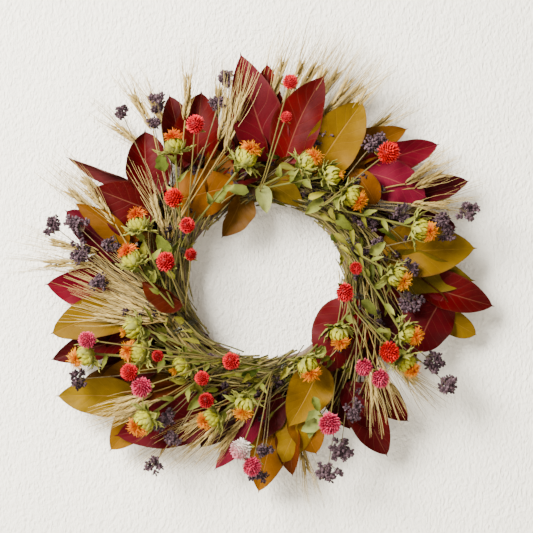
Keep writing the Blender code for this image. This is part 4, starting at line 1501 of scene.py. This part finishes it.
class WREATH_OT_safflowers(Operator):
    """Set the safflower heads on their stems"""

    bl_idname = "wreath.safflowers"
    bl_label = "Safflowers"

    def execute(self, context):
        settings = context.scene.harvest_wreath.safflower
        finish = plant_finish("Safflower", 0.16, 0.12, 0.0003, 0.62, 900.0)
        open_heads = [make_safflower(settings, seed, False) for seed in (51, 52, 53)]
        shut_head = make_safflower(settings, 54, True)
        stem = make_tube_pattern("safflower stem", 6, 12)
        leaf = make_leaf_pattern("safflower leaf", 3, 6)
        bulb_colour, bract_colour = np.array(settings.bulb_colour), np.array(settings.bract_colour)
        for number, rows in SAFFLOWERS.items():
            chance = np.random.default_rng(SEEDS["safflowers"] + number)
            gathering = Gathering()
            for place, (bulb, tuft, sink, kind) in enumerate(rows):
                depth = SAFFLOWER_BAND - sink
                middle = at(bulb, depth)
                way = unit(at(tuft, depth + 3) - middle)
                head = shut_head if kind == "closed" else open_heads[(place + number) % 3]
                part, luck, rise = head.marks[:, 0], head.marks[:, 1], head.marks[:, 2]
                base, body, end = (ink(code, 0.52, 1.5) for code in FLORETS[kind])
                floret = mix(ramp(base, body, end, rise), base, luck * 0.45)
                green = mix(bract_colour * 0.8, BRACT_TIP, np.clip(rise * 0.6 + luck * 0.5, 0, 1))
                scale = mix(bulb_colour * 0.72, bulb_colour * 1.25, np.clip(rise * 0.8 + luck * 0.3, 0, 1))
                scale = mix(scale, ink("A0702C"), np.clip(rise - 0.86, 0, 1) * 5)
                shade = np.where((part < 0.1)[:, None], bulb_colour * 0.5, scale)
                shade = np.where((abs(part - FLORET) < 0.1)[:, None], floret, shade)
                shade = np.where((part > 0.7)[:, None], green, shade) * chance.uniform(0.9, 1.08)
                size = chance.uniform(0.92, 1.06)
                points = set_at(head, middle, way, size, chance.uniform(0, 6))
                gathering.add(head, points, opaque(shade, head.count))
                low = ("safflowers", number, place) in LOW_STEMS
                route = stem_route(NECKS[number], "safflowers", place, middle - way * 6, low)
                gathering.add(stem, sweep(stem, route, [1.0, 1.0, 1.1, 1.5]), ink("8A8646", 0.38, 1.1))
                for k in range(3):
                    foot = route[-2 - 2 * k]
                    side = unit(np.cross(way, FRONT)) * (1 if k % 2 else -1)
                    spread = way * 0.9 + side * chance.uniform(0.5, 1.1)
                    spread = spread + np.array([0, chance.uniform(-0.4, 0.2), 0])
                    tip = foot + unit(spread) * chance.uniform(12, 20)
                    points = bend_small_leaf(
                        leaf, foot, tip, chance, (5, 8), 40, 0.3,
                        thickness=0.4, cup=0.3, arch=0.1, ripple=0.3, pointed=0.9,
                    )
                    tone = two_greens(leaf, "6E7C30", "BCC074") * chance.uniform(0.8, 1.1)
                    gathering.add(leaf, points, opaque(tone, leaf.count))
            gathering.piece(
                f"bouquet_{number}_safflower_heads",
                finish,
                "safflower_flower",
                "wreath",
                f"bouquet_{number}_safflowers",
            )
        return {"FINISHED"}


def make_amaranth(settings, seed):
    """One globe amaranth, 1 unit in radius, its top along z."""
    chance = np.random.default_rng(seed)
    gathering = Gathering()
    ball = make_ball_pattern("core", 10, 8)
    bract = make_bract_pattern()
    # The core takes the dark foot colour of the bracts: painted shade under the bracts.
    gathering.add(ball, ball.points * 0.78, mark(0.0, 0.2, ball.points[:, 0] * 0))
    count = settings.bracts
    for k in range(count):
        height = 1 - 2 * (k + 0.5) / count
        turn = SPIRAL * k
        flat = np.sqrt(1 - height**2)
        way = np.array([cos(turn) * flat, sin(turn) * flat, height])
        lean = unit(way + np.array([0, 0, 0.45 * flat + 0.1]) + chance.normal(size=3) * 0.1)
        length = chance.uniform(0.40, 0.58)
        shape = bract.points * np.array([0.15, 0.2, length])
        side = unit(np.cross(lean, way) + 1e-6)
        axes = np.array([side, np.cross(lean, side), lean])
        gathering.add(bract, way * 0.68 + shape @ axes, mark(1.0, chance.uniform(), bract.points[:, 2]))
    return gathering.pattern("amaranth head")


class WREATH_OT_amaranths(Operator):
    """Set the globe amaranths on their stems"""

    bl_idname = "wreath.amaranths"
    bl_label = "Globe amaranths"

    def execute(self, context):
        settings = context.scene.harvest_wreath.amaranth
        finish = plant_finish("Amaranth bracts", 0.1, 0.12, 0.0002, 0.45, 1200.0)
        heads = [make_amaranth(settings, seed) for seed in (61, 62, 63)]
        stem = make_tube_pattern("amaranth stem", 5, 12)
        leaf = make_leaf_pattern("collar leaf", 4, 7)
        for number, rows in AMARANTHS.items():
            chance = np.random.default_rng(SEEDS["amaranths"] + number)
            gathering = Gathering()
            for place, (plan, share, kind) in enumerate(rows):
                middle = at(plan, AMARANTH_BAND)
                low_stem = ("amaranths", number, place) in LOW_STEMS
                route = stem_route(NECKS[number], "amaranths", place, middle, low_stem)
                outward = unit(route[-1] - route[-4]) + np.array([0, -0.55, 0]) + chance.normal(size=3) * 0.2
                outward = unit(outward)
                head = heads[place % 3]
                radius = settings.head_radius / MM * share
                # Each bract darkens to its foot as painted shade between the bracts and pales to its tip,
                # partly its own colour and partly a painted highlight.
                low, body, high = (ink(code, 0.58, 1.0) for code in BRACT_SHADE_AND_HIGHLIGHT_RAMPS[kind])
                rise, luck = head.marks[:, 2], head.marks[:, 1]
                tone = ramp(low, body, high, rise)
                if kind == "pale":
                    top = np.clip(head.points[:, 2] * 0.9 + 0.15, 0, 0.75)
                    tone = mix(ink("EADFD2", 0.6, 1.0), tone, top)
                tone = tone * (0.82 + 0.36 * luck[:, None])
                points = set_at(head, middle, outward, radius, chance.uniform(0, 6))
                gathering.add(head, points, opaque(tone, head.count))
                gathering.add(stem, sweep(stem, route, [0.8, 0.75, 0.7, 0.7]), ink("8E7E48", 0.36, 1.1))
                for k in range(2):
                    side = unit(np.cross(outward, (0.3, 0.2, 1))) * (1 if k else -1)
                    foot = middle - outward * radius * 0.85
                    tip = foot + unit(side - outward * 0.1) * radius * 1.3
                    points = bend_leaf(
                        leaf, foot, tip, outward, radius * 0.7, 0.35, cup=0.3, curl=0.2, ripple=0.1
                    )
                    gathering.add(leaf, points, opaque(two_greens(leaf, "74823A", "B0B468"), leaf.count))
            gathering.piece(
                f"bouquet_{number}_amaranth_heads",
                finish,
                "amaranth_flower",
                "wreath",
                f"bouquet_{number}_amaranths",
            )
        return {"FINISHED"}


def over_front_leaf(point):
    """True where a small leaf would cover one of the loose leaves in front."""
    plan = point[[0, 2]]
    for base, tip, width, *_ in FRONT_LEAVES.values():
        base, way = np.array(base), np.array(tip) - np.array(base)
        share = np.clip(np.dot(plan - base, way) / np.dot(way, way), 0, 1)
        if np.linalg.norm(plan - base - way * share) < width / 2 + 5:
            return True
    return False


class WREATH_OT_greenery(Operator):
    """Fill each bouquet with loose stems and small curled leaves"""

    bl_idname = "wreath.greenery"
    bl_label = "Stems and small leaves"

    def execute(self, context):
        settings = context.scene.harvest_wreath.stems
        finish = plant_finish("Dry stems", 0.25, 0.2, 0.0004, 0.68, 500.0)
        stem = make_tube_pattern("loose stem", 4, 9)
        leaf = make_leaf_pattern("small leaf", 3, 6)
        straw, olive = np.array(settings.stem_straw), np.array(settings.stem_olive)
        order = list(NECKS)
        for index, (number, neck) in enumerate(NECKS.items()):
            chance = np.random.default_rng(SEEDS["stems"] + number)
            gathering = Gathering()
            gap = (NECKS[order[(index + 1) % 8]] - neck) % 360
            for k in range(int(settings.stems * (0.7 + gap / 130))):
                first = neck + chance.uniform(-24, gap * 0.35)
                reach = chance.uniform(30, 46 + gap * 0.35)
                inner = chance.uniform(-19, 14)
                depth = chance.uniform(5, 22)
                flare = chance.uniform(0, 1) ** 1.6 * 60
                clocks = first + reach * np.linspace(0, 1, 5)
                grow = np.linspace(0, 1, 5)
                radii = RING_RADIUS + inner * (1 - 0.4 * grow) + flare * grow**1.6 + chance.normal(size=5)
                depths = depth + (chance.uniform(-3, 7)) * grow + chance.normal(size=5) * 1.2
                route = route_through([at_clock(*spot) for spot in zip(clocks, radii, depths)], 6)
                thick = chance.uniform(0.45, 1.0)
                tone = mix(olive, straw, chance.uniform(0, 1) ** 0.8)[0] * chance.uniform(0.25, 1.3)
                gathering.add(stem, sweep(stem, route, [thick, thick * 0.9, thick * 0.6]), tone)
                if chance.uniform() < 0.28:
                    spot = route[int(chance.integers(10, len(route) - 2))]
                    along = unit(route[-1] - route[-8])
                    out = unit(spot * np.array([1, 0, 1])) * chance.choice([-0.8, 0.9])
                    spread = along + out * chance.uniform(0.3, 1) + np.array([0, -0.4, 0])
                    tip = spot + unit(spread) * chance.uniform(7, 14)
                    points = bend_small_leaf(
                        leaf, spot, tip, chance, (3, 6), 50, 0.4,
                        thickness=0.35, cup=0.4, arch=0.1, ripple=0.3, pointed=0.9,
                    )
                    tone = mix(leaf_green("5C6624"), leaf_green("B0AC5C"), chance.uniform())[0]
                    gathering.add(leaf, points, tone * chance.uniform(0.7, 1.1))
            for k in range(settings.sprigs):
                clock = neck + chance.uniform(8, gap + 22)
                radius = chance.uniform(78, 132)
                spot = at_clock(clock, radius, chance.uniform(27, 40))
                way = np.array([cos(radians(clock)), chance.uniform(-0.5, 0.2), -sin(radians(clock))])
                out = at_clock(clock, 1)
                tip = spot + unit(way + out * chance.uniform(-0.5, 1.0)) * chance.uniform(12, 24)
                points = bend_small_leaf(
                    leaf, spot, tip, chance, (5, 9), 60, 0.5,
                    thickness=0.35, cup=0.45, arch=0.12, ripple=0.4, pointed=0.85,
                )
                tone = mix(leaf_green("4A5618"), leaf_green("B8B45C"), chance.uniform())[0]
                tone = tone * chance.uniform(0.7, 1.1)
                if not over_front_leaf((spot + tip) / 2):
                    gathering.add(leaf, points, tone)
            for base, tip, width, depth, code, roll in GREEN_LEAVES[number]:
                points = bend_leaf(
                    leaf, at(base, depth), at(tip, depth + 2), FRONT, width, 0.35, roll=roll, cup=0.35,
                    arch=0.1, curl=chance.uniform(-0.35, 0.35), ripple=0.4, phase=chance.uniform(),
                    pointed=0.7,
                )
                shade = mix(leaf_green(code) * 0.85, leaf_green(code) * 1.1, leaf.points[:, 1] / 2 + 0.5)
                gathering.add(leaf, points, opaque(shade, leaf.count))
            gathering.piece(f"bouquet_{number}_greenery", finish, "wheat_straw", "wreath")
        return {"FINISHED"}


class WREATH_OT_stage(Operator):
    """Put up the wall, the floor, the lights and the camera"""

    bl_idname = "wreath.stage"
    bl_label = "Wall, light and camera"

    def execute(self, context):
        settings = context.scene.harvest_wreath.stage
        wall = self.slab("wall", 3.0, self.wall_finish(settings))
        for vert in wall.data.vertices:
            x, y, z = vert.co
            vert.co = (x, 0.0015, y + 0.4)
        floor = self.slab("floor", 6.0, self.floor_finish(settings))
        for vert in floor.data.vertices:
            vert.co.z = -1.5
        wall.visible_shadow = False
        self.light("window", (-1.7, -2.1, 1.35), (1.5, 1.5), 480, (1.0, 0.985, 0.95))
        self.light("fill", (1.9, -2.6, 0.2), (2.2, 2.2), 16, (1.0, 0.93, 0.83))
        self.light("back fill", (0.8, 2.6, 1.0), (1.8, 1.8), 20, (1.0, 0.99, 0.97))
        world = bpy.data.worlds.new("room")
        context.scene.world = world
        world.use_nodes = True
        world.node_tree.nodes["Background"].inputs["Color"].default_value = (1.0, 0.97, 0.92, 1)
        world.node_tree.nodes["Background"].inputs["Strength"].default_value = 0.50
        camera = bpy.data.objects.new("camera", bpy.data.cameras.new("camera"))
        context.scene.collection.objects.link(camera)
        camera.data.sensor_width = 36
        camera.data.lens = 36 * settings.distance / settings.view_width
        aim = Vector(RING_CENTRE) + Vector(AIM_SHIFT)
        camera.location = aim + Vector((0, -settings.distance, 0))
        camera.rotation_euler = (pi / 2, 0, 0)
        camera.data.clip_end = 50
        context.scene.camera = camera
        return {"FINISHED"}

    def slab(self, name, size, finish):
        mesh = bmesh.new()
        bmesh.ops.create_grid(mesh, x_segments=2, y_segments=2, size=size)
        made = bpy.data.meshes.new(name)
        mesh.to_mesh(made)
        mesh.free()
        made.materials.append(finish)
        thing = bpy.data.objects.new(name, made)
        bpy.context.scene.collection.objects.link(thing)
        return thing

    def wall_finish(self, settings):
        """Matt paint with a roller's fine stipple. The side towards the wall cavity is clear."""
        finish = Finish("Painted wall")
        place = finish.place()
        stipple = finish.noise(finish.stretched(place, (1.4, 1, 0.9)), 270.0, 3.0, 0.5)
        trowel = finish.noise(place, 14.0, 3.0)
        finish.bump(finish.maths("ADD", stipple, finish.maths("MULTIPLY", trowel, 0.8)), 0.9, 0.003)
        shade = finish.remap(trowel, 0.3, 0.7, 0.0, 0.06)
        colour = finish.blend(shade, (*settings.wall_colour, 1), grey(0.6))
        finish.set(Base_Color=colour, Roughness=0.9)
        clear = finish.node("ShaderNodeBsdfTransparent")
        side = finish.node("ShaderNodeNewGeometry")
        both = finish.node("ShaderNodeMixShader")
        finish.feed(both.inputs[0], side.outputs["Backfacing"])
        finish.feed(both.inputs[1], finish.shader.outputs[0])
        finish.feed(both.inputs[2], clear.outputs[0])
        finish.feed(finish.tree.nodes["Material Output"].inputs["Surface"], both.outputs[0])
        return finish.material

    def floor_finish(self, settings):
        finish = Finish("Pale floor")
        cloud = finish.noise(finish.place(), 3.0, 4.0)
        colour = finish.blend(finish.remap(cloud, 0.3, 0.7, 0, 0.15), (*settings.floor_colour, 1), grey(0.5))
        return finish.set(Base_Color=colour, Roughness=0.8)

    def light(self, name, place, size, power, colour):
        lamp = bpy.data.lights.new(name, "AREA")
        lamp.shape = "RECTANGLE"
        lamp.size, lamp.size_y = size
        lamp.energy = power
        lamp.color = colour
        thing = bpy.data.objects.new(name, lamp)
        bpy.context.scene.collection.objects.link(thing)
        thing.location = Vector(place) + Vector(RING_CENTRE)
        thing.rotation_euler = (Vector(RING_CENTRE) - thing.location).to_track_quat("-Z", "Y").to_euler()


class WREATH_PT_panel(Panel):
    """The wreath's pieces and their settings"""

    bl_label = "Harvest wreath"
    bl_idname = "WREATH_PT_panel"
    bl_space_type = "VIEW_3D"
    bl_region_type = "UI"
    bl_category = "Wreath"

    def draw(self, context):
        settings = context.scene.harvest_wreath
        for operators, group in ROWS:
            box = self.layout.box()
            for operator in operators:
                box.operator(operator.bl_idname)
            for name in type(getattr(settings, group)).__annotations__:
                box.prop(getattr(settings, group), name)


ROWS = (
    ((WREATH_OT_ring,), "ring"),
    ((WREATH_OT_bindings, WREATH_OT_hanging_loop), "wire"),
    ((WREATH_OT_leaves, WREATH_OT_front_leaves), "leaves"),
    ((WREATH_OT_greenery,), "stems"),
    ((WREATH_OT_wheat,), "wheat"),
    ((WREATH_OT_oregano,), "oregano"),
    ((WREATH_OT_safflowers,), "safflower"),
    ((WREATH_OT_amaranths,), "amaranth"),
    ((WREATH_OT_stage,), "stage"),
)

CLASSES = (
    RingSettings,
    WireSettings,
    LeafSettings,
    WheatSettings,
    OreganoSettings,
    SafflowerSettings,
    AmaranthSettings,
    StemSettings,
    StageSettings,
    WreathSettings,
    *(operator for operators, _ in ROWS for operator in operators),
    WREATH_PT_panel,
)


def register():
    for part in CLASSES:
        bpy.utils.register_class(part)
    bpy.types.Scene.harvest_wreath = PointerProperty(type=WreathSettings)


def unregister():
    del bpy.types.Scene.harvest_wreath
    for part in reversed(CLASSES):
        bpy.utils.unregister_class(part)


def main():
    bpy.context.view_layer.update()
    register()
    bpy.ops.wreath.ring()
    bpy.ops.wreath.bindings()
    bpy.ops.wreath.hanging_loop()
    bpy.ops.wreath.leaves()
    bpy.ops.wreath.front_leaves()
    bpy.ops.wreath.greenery()
    bpy.ops.wreath.wheat()
    bpy.ops.wreath.oregano()
    bpy.ops.wreath.safflowers()
    bpy.ops.wreath.amaranths()
    bpy.ops.wreath.stage()


if __name__ == "__main__":
    main()
